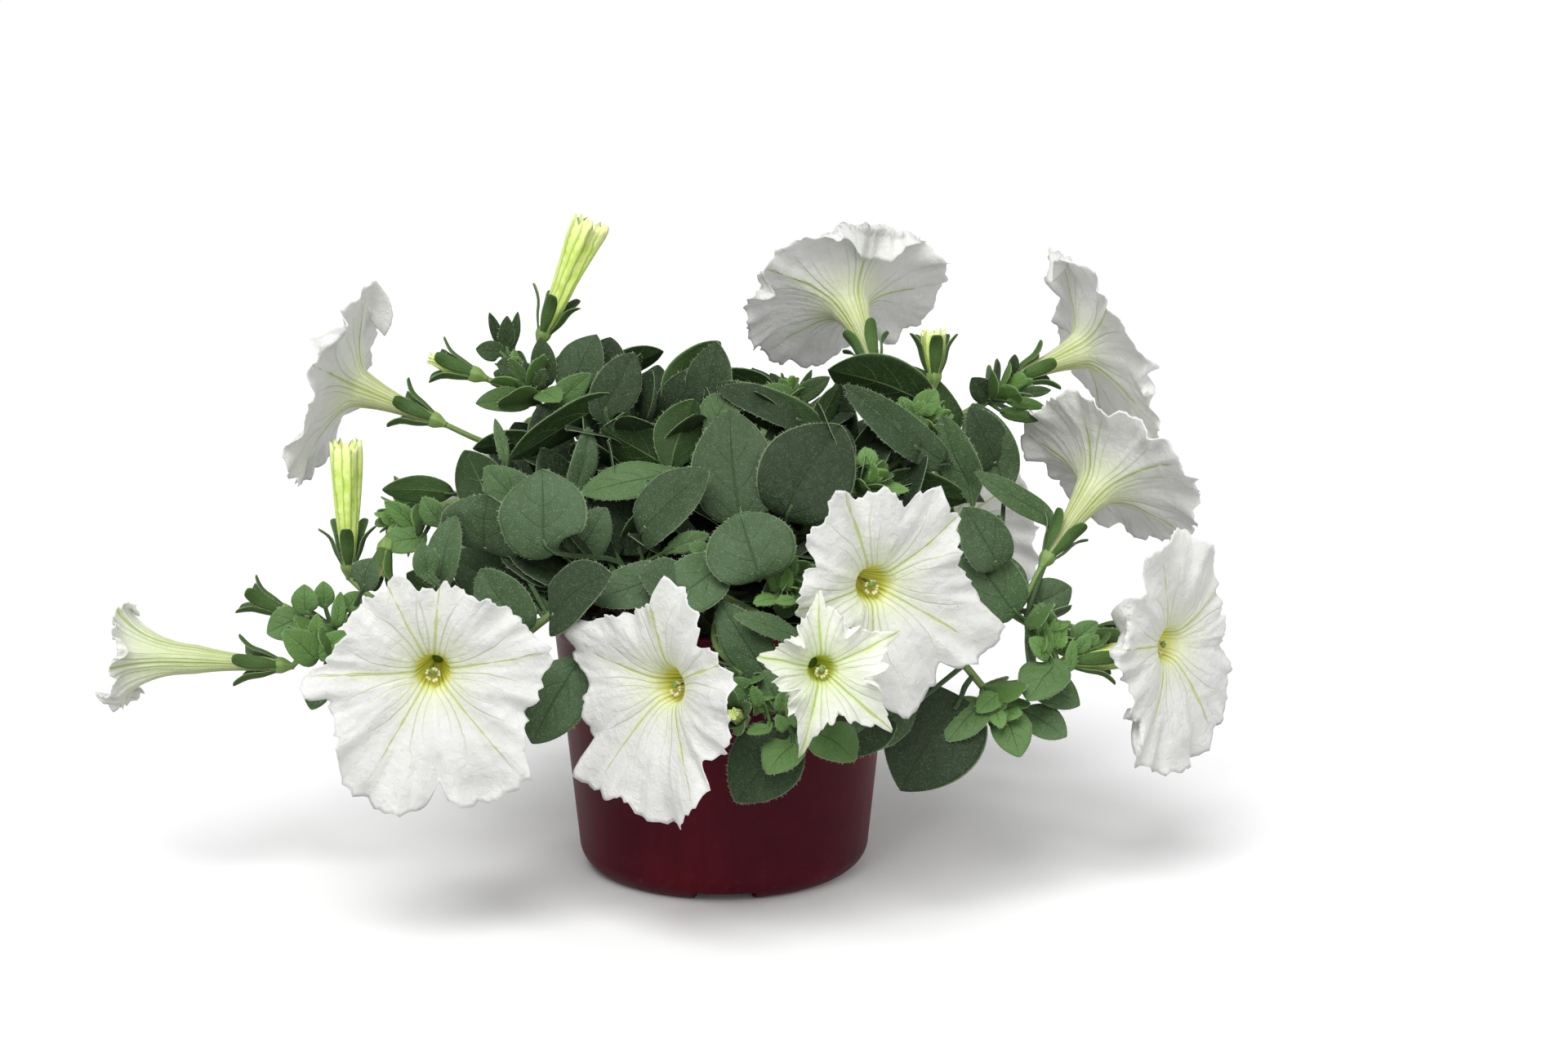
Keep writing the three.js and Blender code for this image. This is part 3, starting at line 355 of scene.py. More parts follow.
# More leaves read off the picture: base and tip in its pixels, depth of base and tip behind (+) or in
# front (-) of the pot's axis, width in pixels, the upper face's turn and rise, and how young
MORE_LEAVES = [
    # upper left
    ((735, 492), (747, 413), 14, 20, 84, (-35, 25), 0.0),
    ((738, 462), (812, 430), 24, 28, 46, (0, -35), 0.0),
    ((737, 512), (785, 433), 4, 8, 34, (50, 0), 0.0),
    ((820, 497), (881, 418), 6, 12, 70, (25, -12), 0.1),
    ((941, 474), (847, 466), 10, 14, 44, (0, -35), 0.0),
    ((1004, 530), (878, 469), -14, -8, 52, (15, -12), 0.0),
    ((812, 569), (736, 524), -18, -14, 62, (-5, -12), 0.0),
    ((822, 566), (850, 489), -22, -16, 64, (5, -8), 0.05),
    ((776, 522), (800, 472), -2, 4, 28, (10, 10), 0.3),
    ((872, 522), (894, 482), -20, -12, 50, (-10, 30), 0.1),
    ((815, 580), (710, 604), -28, -34, 52, (0, 42), 0.2),
    ((822, 672), (868, 655), -58, -60, 26, (0, 20), 0.2),
    ((872, 681), (843, 668), -62, -64, 24, (0, 40), 0.3),
    ((818, 706), (722, 736), -70, -76, 60, (0, 40), 0.0),
    ((888, 694), (802, 748), -70, -80, 76, (-8, 38), 0.05),
    ((936, 826), (881, 738), -84, -76, 60, (-10, 12), 0.0),
    ((978, 779), (898, 754), -84, -88, 34, (0, 50), 0.1),
    ((745, 494), (624, 562), -12, -22, 62, (10, -40), 0.0),
    ((705, 603), (721, 523), -30, -22, 38, (30, 0), 0.0),
    ((652, 540), (579, 549), -8, -14, 40, (0, -30), 0.0),
    ((619, 566), (606, 513), -24, -20, 16, (20, 20), 0.2),
    ((662, 640), (594, 572), -40, -36, 62, (-20, 30), 0.1),
    ((704, 686), (742, 622), -46, -40, 54, (20, 25), 0.0),
    ((642, 772), (588, 697), -74, -70, 66, (-15, 25), 0.0),
    ((550, 604), (468, 600), -28, -32, 36, (-10, -5), 0.1),
    ((602, 628), (568, 552), -38, -30, 64, (15, -8), 0.0),
    ((536, 714), (558, 631), -48, -44, 50, (-30, 15), 0.05),
    ((526, 706), (516, 666), -56, -54, 34, (10, 10), 0.1),
    ((446, 718), (457, 684), -50, -48, 42, (-20, 30), 0.0),
    ((396, 828), (381, 869), -50, -52, 34, (-10, 10), 0.0),
    ((706, 812), (652, 911), -78, -84, 80, (5, 15), 0.0),
    # young leaves round the upper left shoot
    ((646, 490), (583, 494), 6, -4, 36, (-10, 35), 0.75),
    ((667, 470), (662, 414), 12, 14, 32, (-5, 10), 0.7),
    ((676, 500), (724, 458), 4, 2, 34, (20, 25), 0.6),
    ((664, 480), (686, 492), 4, -8, 34, (10, 40), 0.75),
    # upper right
    ((1132, 492), (1014, 452), 2, -2, 84, (0, -30), 0.0),
    ((1172, 530), (1108, 448), 8, 4, 50, (20, -10), 0.05),
    ((1155, 566), (1034, 471), -12, -16, 46, (20, 0), 0.0),
    ((1084, 592), (1186, 613), -14, -10, 56, (0, -25), 0.0),
    ((1000, 530), (1028, 471), -4, 2, 32, (20, -10), 0.0),
    ((1190, 603), (1153, 508), -12, -6, 54, (-20, 10), 0.1),
    ((1228, 593), (1191, 494), -6, 0, 66, (0, 12), 0.05),
    ((1286, 642), (1193, 578), -16, -20, 34, (15, 30), 0.1),
    ((1062, 597), (1113, 601), -30, -36, 22, (10, 40), 0.7),
    ((1066, 572), (1058, 548), -32, -30, 26, (0, 20), 0.75),
    ((1176, 700), (1226, 632), -46, -42, 66, (20, 20), 0.05),
    ((1244, 750), (1180, 664), -52, -48, 74, (10, 20), 0.05),
    ((1248, 732), (1230, 680), -44, -40, 34, (20, 5), 0.0),
    # right and lower right
    ((1262, 746), (1312, 720), -34, -30, 50, (10, 20), 0.0),
    ((1284, 794), (1273, 738), -52, -48, 44, (-20, 15), 0.35),
    ((1310, 786), (1344, 762), -50, -48, 28, (10, 25), 0.4),
    ((1288, 812), (1258, 858), -58, -74, 62, (-10, 45), 0.3),
    ((1264, 836), (1322, 864), -56, -60, 48, (15, 30), 0.1),
    ((1258, 872), (1306, 902), -60, -66, 46, (15, 30), 0.15),
    ((1230, 872), (1249, 927), -68, -78, 50, (0, 35), 0.4),
    ((1202, 858), (1160, 908), -70, -82, 50, (-15, 35), 0.3),
    # bottom front
    ((972, 908), (939, 948), -98, -108, 50, (-10, 40), 0.5),
    ((998, 896), (1047, 932), -96, -106, 62, (15, 40), 0.45),
    ((1112, 868), (1030, 916), -84, -92, 62, (5, 20), 0.0),
    ((958, 866), (934, 822), -90, -88, 44, (-10, 20), 0.2),
    ((917, 852), (893, 832), -92, -94, 28, (-20, 30), 0.5),
    # behind the left flower
    ((560, 744), (498, 702), -36, -34, 56, (-10, -10), 0.0),
    ((640, 764), (556, 748), -42, -44, 50, (-5, -5), 0.0),
    ((640, 726), (548, 678), -30, -26, 66, (-15, 10), 0.0),
    ((664, 716), (606, 672), -22, -18, 52, (0, 10), 0.0),
    # young leaves at the shoots' tips, from the left round to the right
    ((388, 806), (347, 772), -46, -52, 38, (-15, 30), 0.75),
    ((389, 794), (388, 752), -44, -46, 24, (0, 10), 0.85),
    ((389, 802), (424, 773), -46, -48, 28, (15, 25), 0.75),
    ((369, 758), (327, 776), -34, -36, 42, (-10, 20), 0.4),
    ((377, 750), (373, 716), -38, -38, 34, (-10, 10), 0.55),
    ((398, 742), (396, 712), -36, -36, 26, (5, 10), 0.6),
    ((412, 766), (417, 725), -42, -42, 18, (10, 5), 0.7),
    ((425, 746), (440, 725), -40, -40, 26, (10, 25), 0.6),
    ((510, 645), (471, 614), -26, -30, 26, (-15, 20), 0.8),
    ((507, 627), (484, 600), -22, -24, 18, (-10, 10), 0.85),
    ((517, 657), (466, 668), -28, -32, 38, (-5, 30), 0.45),
    ((515, 637), (515, 596), -26, -26, 11, (10, 0), 0.8),
    ((541, 642), (518, 609), -30, -30, 34, (-10, 5), 0.4),
    ((617, 428), (599, 383), 18, 18, 16, (-20, 5), 0.6),
    ((621, 428), (621, 387), 16, 16, 20, (0, 5), 0.65),
    ((627, 428), (634, 382), 18, 18, 14, (20, 5), 0.6),
    ((614, 432), (583, 427), 14, 12, 26, (-10, 20), 0.55),
    ((645, 474), (625, 439), 8, 8, 18, (-10, 15), 0.85),
    ((650, 474), (642, 442), 8, 8, 16, (0, 10), 0.9),
    ((657, 474), (668, 452), 6, 6, 16, (10, 15), 0.9),
    ((636, 452), (608, 446), 10, 8, 26, (-10, 25), 0.7),
    ((954, 724), (944, 687), -70, -72, 22, (-10, 10), 0.8),
    ((962, 724), (965, 695), -72, -74, 17, (0, 5), 0.85),
    ((970, 706), (975, 680), -68, -68, 12, (10, 5), 0.75),
    ((950, 732), (922, 739), -74, -78, 20, (-10, 40), 0.75),
    ((972, 734), (950, 738), -76, -80, 16, (0, 40), 0.8),
    ((930, 864), (921, 840), -100, -102, 17, (-10, 10), 0.7),
    ((954, 872), (962, 844), -98, -98, 18, (10, 10), 0.65),
    ((978, 890), (965, 850), -100, -100, 20, (0, 10), 0.6),
    ((962, 893), (950, 877), -104, -106, 18, (0, 30), 0.75),
    ((942, 890), (914, 898), -102, -106, 16, (-10, 40), 0.7),
    ((969, 490), (927, 478), 6, 2, 28, (-10, 20), 0.7),
    ((973, 490), (968, 460), 10, 10, 18, (0, 10), 0.8),
    ((976, 490), (1016, 462), 8, 6, 24, (10, 15), 0.65),
    ((960, 480), (943, 457), 12, 12, 15, (-10, 10), 0.8),
    ((977, 484), (994, 453), 12, 12, 11, (10, 5), 0.75),
    ((1115, 515), (1103, 486), -4, -4, 26, (-15, 20), 0.75),
    ((1124, 506), (1147, 478), -4, -4, 32, (10, 20), 0.75),
    ((1128, 511), (1108, 534), -8, -14, 32, (0, 40), 0.7),
    ((1122, 506), (1132, 492), -8, -8, 18, (0, 20), 0.9),
    ((1066, 588), (1082, 575), -34, -34, 18, (10, 20), 0.85),
    ((1212, 489), (1190, 463), 12, 10, 32, (-20, 10), 0.3),
    ((1227, 504), (1272, 515), 10, 8, 18, (10, -10), 0.3),
    ((1236, 492), (1280, 499), 8, 8, 16, (10, -5), 0.4),
    ((1253, 481), (1287, 478), 12, 12, 14, (10, 10), 0.45),
    ((1238, 456), (1243, 434), 16, 16, 14, (0, 10), 0.5),
    ((1282, 792), (1271, 750), -56, -56, 18, (-10, 10), 0.75),
    ((1290, 794), (1290, 758), -56, -56, 16, (0, 10), 0.8),
    ((1286, 802), (1260, 782), -58, -62, 26, (-10, 30), 0.75),
    ((1308, 820), (1314, 783), -58, -58, 16, (10, 5), 0.65),
    ((1318, 796), (1335, 778), -54, -54, 20, (10, 15), 0.6),
    ((1330, 794), (1345, 778), -52, -52, 17, (10, 15), 0.6),
    ((1298, 784), (1304, 764), -56, -56, 14, (0, 15), 0.9),
    ((1221, 850), (1197, 873), -70, -78, 30, (-15, 35), 0.6),
    ((1219, 870), (1227, 892), -74, -80, 22, (0, 40), 0.75),
    ((1230, 874), (1252, 874), -72, -76, 20, (10, 35), 0.7),
    ((1221, 867), (1233, 856), -72, -72, 14, (0, 25), 0.9),
]


# Vectors and curves


def unit(vectors):
    """Vectors scaled to length one."""
    return vectors / np.maximum(np.linalg.norm(vectors, axis=-1, keepdims=True), 1e-9)


def facing(turn, rise):
    """The unit vector for a turn about the upright axis, 0 to the front, and a rise from the level."""
    turn, rise = math.radians(turn), math.radians(rise)
    level = math.cos(rise)
    return np.array([level * math.sin(turn), -level * math.cos(turn), math.sin(rise)])


def round_turns(count):
    """Even turns round a full circle, from nought."""
    return 2 * math.pi * np.arange(count) / count


def outward(turn, first, second):
    """The way out at each turn: its cosine along the first vector and its sine along the second."""
    return np.cos(turn) * first + np.sin(turn) * second


def apart(turn, other):
    """How far a turn in degrees lies past another, from -180 to 180."""
    return (turn - other + 180) % 360 - 180


def run_along(points):
    """The distance run along a chain of points, from nought at the first."""
    return np.concatenate([[0], np.cumsum(np.linalg.norm(np.diff(points, axis=0), axis=1))])


def through(points, shares):
    """A smooth curve through points, read at shares of its spans.

    In each span a cubic meets both ends; its end slopes weigh the neighbouring spans by the square
    roots of their lengths, and a mirrored point is added beyond each end.
    """
    given = np.asarray(points, float)
    chain = np.vstack([2 * given[0] - given[1], given, 2 * given[-1] - given[-2]])
    place = np.clip(np.atleast_1d(np.asarray(shares, float)), 0, 1) * (len(given) - 1)
    span = np.minimum(place.astype(int), len(given) - 2)
    x = (place - span)[:, None]
    a, b, c, d = (chain[span + step] for step in range(4))
    ab, bc, cd = (np.sqrt(np.linalg.norm(q - p, axis=1))[:, None] for p, q in ((a, b), (b, c), (c, d)))
    start = ((b - a) / ab - (c - a) / (ab + bc) + (c - b) / bc) * bc
    end = ((c - b) / bc - (d - b) / (bc + cd) + (d - c) / cd) * bc
    return b + x * (start + x * (3 * (c - b) - 2 * start - end + x * (2 * (b - c) + start + end)))


def heading(points, shares):
    """The curve's direction at each share: the unit difference of two places close on either side."""
    shares = np.asarray(shares, float)
    return unit(through(points, shares + CLOSE) - through(points, shares - CLOSE))


def spot(points, share):
    """One place on a curve and the direction there."""
    return through(points, share)[0], heading(points, share)[0]


def carried(along, side):
    """Sides and ups square to each direction, the side carried from one to the next with least turn."""
    sides = np.empty_like(along)
    for place, way in enumerate(along):
        side = unit(side - way * (way @ side))
        sides[place] = side
    return sides, np.cross(along, sides)


def carried_back(along, side):
    """Sides and ups carried in the same way from the last direction to the first."""
    sides, ups = carried(along[::-1], side)
    return sides[::-1], ups[::-1]


def level_side(way):
    """The level unit vector square to a direction, or +X when it is upright."""
    side = np.array([-way[1], way[0], 0.0])
    return unit(side) if np.linalg.norm(side) > 1e-3 else np.array([1.0, 0.0, 0.0])


def across_from(way):
    """Two unit vectors square to a direction and to each other, the first of them level."""
    side = level_side(way)
    return side, np.cross(way, side)


def seen_at(pixel, depth):
    """The point on the upright plane Y = depth that the camera sees at a pixel of the picture."""
    place, target = np.array(CAMERA_PLACE), np.array(CAMERA_TARGET)
    ahead = unit(target - place)
    right = unit(np.cross(ahead, (0.0, 0.0, 1.0)))
    above = np.cross(right, ahead)
    x, y = ((value - whole / 2) / FOCAL for value, whole in zip(pixel, PICTURE))
    ray = ahead + right * x - above * y
    return place + ray * (depth - place[1]) / ray[1]


def smooth(low, high, value):
    """0 below low, 1 above high, and an even S between them."""
    x = np.clip((value - low) / (high - low), 0, 1)
    return x * x * (3 - 2 * x)


def relief(x, y, size, seed):
    """Soft random relief from -1 to 1: a value at each point of a square lattice, blended by even S steps."""
    table = np.random.default_rng(seed).uniform(-1, 1, (64, 64))
    u, v = np.asarray(x) / size + 321.3, np.asarray(y) / size + 257.1
    i, j = np.floor(u).astype(int), np.floor(v).astype(int)
    a, b = smooth(0, 1, u - i), smooth(0, 1, v - j)
    near = table[i % 64, j % 64] * (1 - a) + table[(i + 1) % 64, j % 64] * a
    far = table[i % 64, (j + 1) % 64] * (1 - a) + table[(i + 1) % 64, (j + 1) % 64] * a
    return near * (1 - b) + far * b


def waves(turn, counts, seed):
    """A wavy run round a circle: sines of whole counts with seeded starts, weaker as they get finer."""
    starts = np.random.default_rng(seed).uniform(0, 2 * math.pi, len(counts))
    return sum(
        np.sin(count * turn + start) * (counts[0] / count) ** 0.6 for count, start in zip(counts, starts)
    )


# Gathering surfaces into meshes


class Skin:
    """Patches of surface gathered into one mesh, with a UV at each corner and three shades at each point."""

    def __init__(self):
        self.points, self.shades, self.faces, self.uvs, self.kinds, self.soft = [], [], [], [], [], []
        self.count = 0

    def add_points(self, points, under=0.0, age=0.0, shade_and_tone=0.5):
        """Adds points in any grid shape and returns their numbers in that shape."""
        flat = points.reshape(-1, 3)
        numbers = self.count + np.arange(len(flat)).reshape(points.shape[:-1])
        self.points.append(flat)
        self.shades.append(np.tile([under, age, shade_and_tone], (len(flat), 1)))
        self.count += len(flat)
        return numbers

    def add_faces(self, faces, uvs, kind=0, soft=True):
        """Adds faces of three or four corners, with one UV for them all or one for each corner."""
        faces = faces.reshape(-1, faces.shape[-1])
        shape = faces.shape + (2,)
        self.faces.append(faces)
        self.uvs.append(uvs.reshape(shape) if uvs.ndim > 1 else np.broadcast_to(uvs, shape))
        self.kinds.append(np.full(len(faces), kind))
        self.soft.append(np.full(len(faces), soft))

    def grid(self, numbers, uvs, wrap=False, turned=False, kind=0):
        """Quads between the rows and columns of a grid; wrap joins the last column to the first.

        UVs come as one for each point, with one more column where the grid wraps, or four for each face.
        """
        faces = four_corners(joined(numbers) if wrap else numbers)
        corner_uvs = uvs if uvs.ndim == 4 else four_corners(uvs)
        if turned:
            faces, corner_uvs = faces[..., ::-1], corner_uvs[..., ::-1, :]
        self.add_faces(faces, corner_uvs, kind)

    def plate(self, middle, thickness, uvs, wrap=False, age=0.0, shade_and_tone=0.5):
        """A thin closed plate: the grid pushed out along its normals on both sides, and its rim closed."""
        push = grid_normals(middle, wrap) * (np.asarray(thickness) / 2)[..., None]
        top = self.add_points(middle + push, 0.0, age, shade_and_tone)
        low = self.add_points(middle - push, 1.0, age, shade_and_tone)
        self.grid(top, uvs, wrap)
        self.grid(low, uvs, wrap, turned=True)
        corner_uvs = uvs if uvs.ndim == 4 else four_corners(uvs)
        if wrap:
            top, low = joined(top), joined(low)
        for row, corner in ((0, 0), (-1, 1)):
            self.rim(top[row], low[row], corner_uvs[row, :, corner], row == -1)
        if not wrap:
            for column, corner in ((0, 0), (-1, 3)):
                self.rim(top[:, column], low[:, column], corner_uvs[:, column, corner], column == 0)

    def rim(self, top, low, uvs, turned):
        """The narrow strip that joins the edges of a plate's two faces."""
        strip = np.stack([top[:-1], top[1:], low[1:], low[:-1]], -1)
        self.add_faces(strip[:, ::-1] if turned else strip, np.repeat(uvs[:, None], 4, 1), soft=False)

    def fan(self, ring, middle, uv, first, kind=0, age=0.0):
        """Closes the first or the last ring of a round body with triangles to a middle point."""
        centre = self.add_points(np.reshape(middle, (1, 3)), age=age)[0]
        faces = np.stack([np.full(len(ring), centre), ring, np.roll(ring, -1)], -1)
        self.add_faces(faces[:, (0, 2, 1)] if first else faces, np.asarray(uv), kind)

    def tube(self, centres, sides, ups, radii, count, kind=0, age=0.0, flute=1.0):
        """A closed round body: circles of the given radii in the given frames, with a fan on each end."""
        reach = np.asarray(radii, float)[:, None] * flute
        ring = reach[..., None] * outward(round_turns(count)[:, None], sides[:, None], ups[:, None])
        numbers = self.add_points(centres[:, None] + ring, age=age)
        around, away = np.meshgrid(np.arange(count + 1) / count, run_along(centres) / UV_REACH)
        uvs = np.stack([around, away], -1)
        self.grid(numbers, uvs, wrap=True, turned=True, kind=kind)
        for row in (0, -1):
            self.fan(numbers[row], centres[row], uvs[row, 0], row == 0, kind, age)

    def straight_tube(self, centres, axis, radii, count, kind, age=0.0, flute=1.0):
        """A closed round body along a straight axis."""
        sides, ups = (np.tile(way, (len(centres), 1)) for way in across_from(axis))
        self.tube(centres, sides, ups, radii, count, kind, age, flute)

    def hairs(self, roots, ways, lengths, width):
        """Fine stiff hairs: each a pointed three-sided spike with a closed foot."""
        ways = unit(ways)
        across = unit(np.cross(ways, HAIR_LEAN))
        beyond = np.cross(ways, across)
        foot = [roots + width * outward(turn, across, beyond) for turn in round_turns(3)]
        numbers = self.add_points(np.stack(foot + [roots + ways * lengths[:, None]], 1), age=0.5)
        order = np.array([(0, 1, 3), (1, 2, 3), (2, 0, 3), (2, 1, 0)])
        self.add_faces(numbers[:, order], np.zeros(2), HAIR, soft=False)

    def mesh(self, name, finishes):
        """The gathered patches as a mesh in metres with its UVs, shades and finishes."""
        mesh = bpy.data.meshes.new(name)
        points = np.concatenate(self.points) * MM
        corners = np.concatenate([faces.reshape(-1) for faces in self.faces])
        sizes = np.concatenate([np.full(len(faces), faces.shape[1]) for faces in self.faces])
        mesh.vertices.add(len(points))
        mesh.vertices.foreach_set("co", points.astype(np.float32).reshape(-1))
        mesh.loops.add(len(corners))
        mesh.loops.foreach_set("vertex_index", corners.astype(np.int32))
        mesh.polygons.add(len(sizes))
        mesh.polygons.foreach_set("loop_start", (np.cumsum(sizes) - sizes).astype(np.int32))
        mesh.polygons.foreach_set("material_index", np.concatenate(self.kinds).astype(np.int32))
        mesh.polygons.foreach_set("use_smooth", np.concatenate(self.soft))
        mesh.update(calc_edges=True)
        uvs = np.concatenate([uv.reshape(-1) for uv in self.uvs])
        mesh.uv_layers.new(name="surface").data.foreach_set("uv", uvs.astype(np.float32))
        shades = np.concatenate(self.shades).astype(np.float32)
        for label, values in zip(("under", "age", "shade_and_tone"), shades.T):
            mesh.attributes.new(label, "FLOAT", "POINT").data.foreach_set("value", values.copy())
        for finish in finishes:
            mesh.materials.append(finish)
        return mesh


def joined(grid):
    """A grid with its first column again at its end."""
    return np.concatenate([grid, grid[:, :1]], 1)


def four_corners(grid):
    """The four corners of each cell of a grid, in the order that turns from rows to columns."""
    return np.stack([grid[:-1, :-1], grid[1:, :-1], grid[1:, 1:], grid[:-1, 1:]], 2)


def grid_normals(grid, wrap):
    """Unit normals of a grid: the cross product of its changes along rows and along columns."""
    over = np.roll(grid, -1, 1) - np.roll(grid, 1, 1) if wrap else np.gradient(grid, axis=1)
    return unit(np.cross(np.gradient(grid, axis=0), over))


def add_object(name, data):
    """A new object in the scene, at the origin."""
    made = bpy.data.objects.new(name, data)
    bpy.context.scene.collection.objects.link(made)
    return made


def finish_piece(name, skin, finishes, slot, nodes=()):
    """Puts a skin into the scene as a piece that rides with the pot and may stand for nodes."""
    piece = add_object(name, skin.mesh(name, finishes))
    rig.ride(piece, "root")
    if nodes:
        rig.replaces(piece, *nodes)
    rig.slot(piece, slot)


# Finishes


class Wiring:
    """Adds nodes to a tree: a socket is linked, and a plain number or colour is set on the input."""

    def __init__(self, tree):
        self.tree = tree

    def put(self, socket, value):
        """Links or sets one input."""
        if isinstance(value, bpy.types.NodeSocket):
            self.tree.links.new(value, socket)
        else:
            socket.default_value = value

    def node(self, kind, inputs=(), **settings):
        """A node with its settings and inputs."""
        made = self.tree.nodes.new(kind)
        for key, value in settings.items():
            setattr(made, key, value)
        for key, value in dict(inputs).items():
            self.put(made.inputs[key], value)
        return made

    def reckon(self, operation, *values):
        """One operation on numbers."""
        return self.node("ShaderNodeMath", enumerate(values), operation=operation).outputs[0]

    times = partialmethod(reckon, "MULTIPLY")
    plus = partialmethod(reckon, "ADD")
    less = partialmethod(reckon, "SUBTRACT")
    over = partialmethod(reckon, "DIVIDE")
    most = partialmethod(reckon, "MAXIMUM")
    size = partialmethod(reckon, "ABSOLUTE")
    times_plus = partialmethod(reckon, "MULTIPLY_ADD")

    def step(self, value, low, high, start=0.0, end=1.0):
        """An even S from start at low to end at high."""
        ends = {"Value": value, "From Min": low, "From Max": high, "To Min": start, "To Max": end}
        return self.node("ShaderNodeMapRange", ends, interpolation_type="SMOOTHSTEP").outputs["Result"]

    def fade(self, value, low, high):
        """An even S from 1 at low to 0 at high."""
        return self.step(value, low, high, 1.0, 0.0)

    def mix(self, share, first, second):
        """Two colours mixed by a share."""
        ends = {0: share, 6: colour(first), 7: colour(second)}
        return self.node("ShaderNodeMix", ends, data_type="RGBA").outputs[2]

    def noise(self, where, scale, detail=3.0, rough=0.55, twist=0.0):
        """Soft cloudy noise."""
        inputs = {"Vector": where, "Scale": scale, "Detail": detail, "Roughness": rough, "Distortion": twist}
        return self.node("ShaderNodeTexNoise", inputs).outputs["Fac"]

    def cells(self, where, scale):
        """The distance to the nearest of scattered points."""
        return self.node("ShaderNodeTexVoronoi", {"Vector": where, "Scale": scale}).outputs["Distance"]

    def stretch(self, where, scale, turn=(0.0, 0.0, 0.0)):
        """A place turned and stretched."""
        return self.node("ShaderNodeMapping", {"Vector": where, "Rotation": turn, "Scale": scale}).outputs[0]

    def shade(self, name):
        """One of the shades that a skin's points carry."""
        return self.node("ShaderNodeAttribute", attribute_name=name).outputs["Fac"]

    def surface(self):
        """The two numbers of the piece's own UV map."""
        uv = self.node("ShaderNodeUVMap", uv_map="surface").outputs[0]
        return self.node("ShaderNodeSeparateXYZ", {"Vector": uv}).outputs[:2]

    def place(self):
        """The place on the piece."""
        return self.node("ShaderNodeTexCoord").outputs["Object"]

    def straight_ray(self):
        """One for a ray from the camera or off a gloss, and nought for any other."""
        path = self.node("ShaderNodeLightPath").outputs
        return self.plus(path["Is Camera Ray"], path["Is Glossy Ray"])

    def group(self, group, **inputs):
        """The outputs of a shared group placed with these inputs."""
        return self.node("ShaderNodeGroup", inputs, node_tree=group).outputs

    def cover(self, shader, shown, rough, height, distance, strength):
        """Gives a shader its colour and roughness, and raises its surface by a height."""
        inputs = {"Height": height, "Distance": distance, "Strength": strength}
        normal = self.node("ShaderNodeBump", inputs).outputs[0]
        for label, value in (("Base Color", shown), ("Roughness", rough), ("Normal", normal)):
            self.put(shader.inputs[label], value)


def colour(value):
    """A colour with its alpha, or a socket as it is."""
    return value + (1.0,) if isinstance(value, tuple) else value


def dimmed(value, share):
    """A colour times a share."""
    return tuple(part * share for part in value)


def new_finish(name):
    """An empty finish, its wiring and its Principled shader."""
    finish = bpy.data.materials.new(name)
    finish.use_nodes = True
    finish.node_tree.nodes.clear()
    wiring = Wiring(finish.node_tree)
    shader = wiring.node("ShaderNodeBsdfPrincipled")
    wiring.node("ShaderNodeOutputMaterial", {"Surface": shader.outputs[0]})
    return finish, wiring, shader


def set_values(shader, **values):
    """Sets a shader's even values on its own sockets; a low line in a name stands for a space."""
    for label, value in values.items():
        shader.inputs[label.replace("_", " ")].default_value = value


def new_group(name, inputs, outputs):
    """An empty shader group of named sockets, all numbers but Place, with its wiring and its two ends."""
    group = bpy.data.node_groups.new(name, "ShaderNodeTree")
    for side, labels in (("INPUT", inputs), ("OUTPUT", outputs)):
        for label in labels:
            kind = "NodeSocketVector" if label == "Place" else "NodeSocketFloat"
            group.interface.new_socket(name=label, in_out=side, socket_type=kind)
    w = Wiring(group)
    return group, w, w.node("NodeGroupInput").outputs, w.node("NodeGroupOutput").inputs


def make_down_group():
    """Short pale down: grains of two sizes, and the height that they give the surface."""
    group, w, given, out = new_group("short_down", ("Place", "Scale"), ("Grain", "Height"))
    fine = w.cells(given["Place"], given["Scale"])
    soft = w.noise(given["Place"], w.times(given["Scale"], 0.35), 4.0, 0.7)
    grain = w.less(1.0, w.step(fine, 0.05, 0.6))
    w.put(out["Grain"], w.times(grain, w.step(soft, 0.35, 0.65)))
    w.put(out["Height"], w.plus(w.times(grain, 0.5), soft))
    return group


def make_leaf_vein_group():
    """Leaf veins from the blade's own UV: a midrib at the middle and side veins that leave it at a slant.

    A side vein lies where the run along the blade less a share of the distance from the midrib is a
    whole number of vein spacings; its strength dies out towards the margin.
    """
    group, w, given, out = new_group(
        "leaf_veins", ("Across", "Along", "Wobble"), ("Midrib", "Side", "Margin")
    )
    away = w.size(w.times_plus(given["Across"], 2.0, -1.0))
    run = w.less(given["Along"], w.times(w.reckon("POWER", away, VEIN_BEND), VEIN_SLANT))
    run = w.plus(run, w.times(w.less(given["Wobble"], 0.5), 0.05))
    turn = w.reckon("FRACT", w.over(w.plus(run, VEIN_START), VEIN_GAP))
    near = w.reckon("MINIMUM", turn, w.less(1.0, turn))
    strength = w.times(w.fade(away, 0.35, 0.85), w.fade(given["Along"], 0.6, 0.9))
    w.put(out["Side"], w.times(w.fade(near, 0.0, 0.06), strength))
    width = w.step(given["Along"], 0.0, 1.0, 0.06, 0.018)
    w.put(out["Midrib"], w.less(1.0, w.step(w.over(away, width), 0.25, 1.0)))
    w.put(out["Margin"], w.step(away, 0.955, 0.99))
    return group


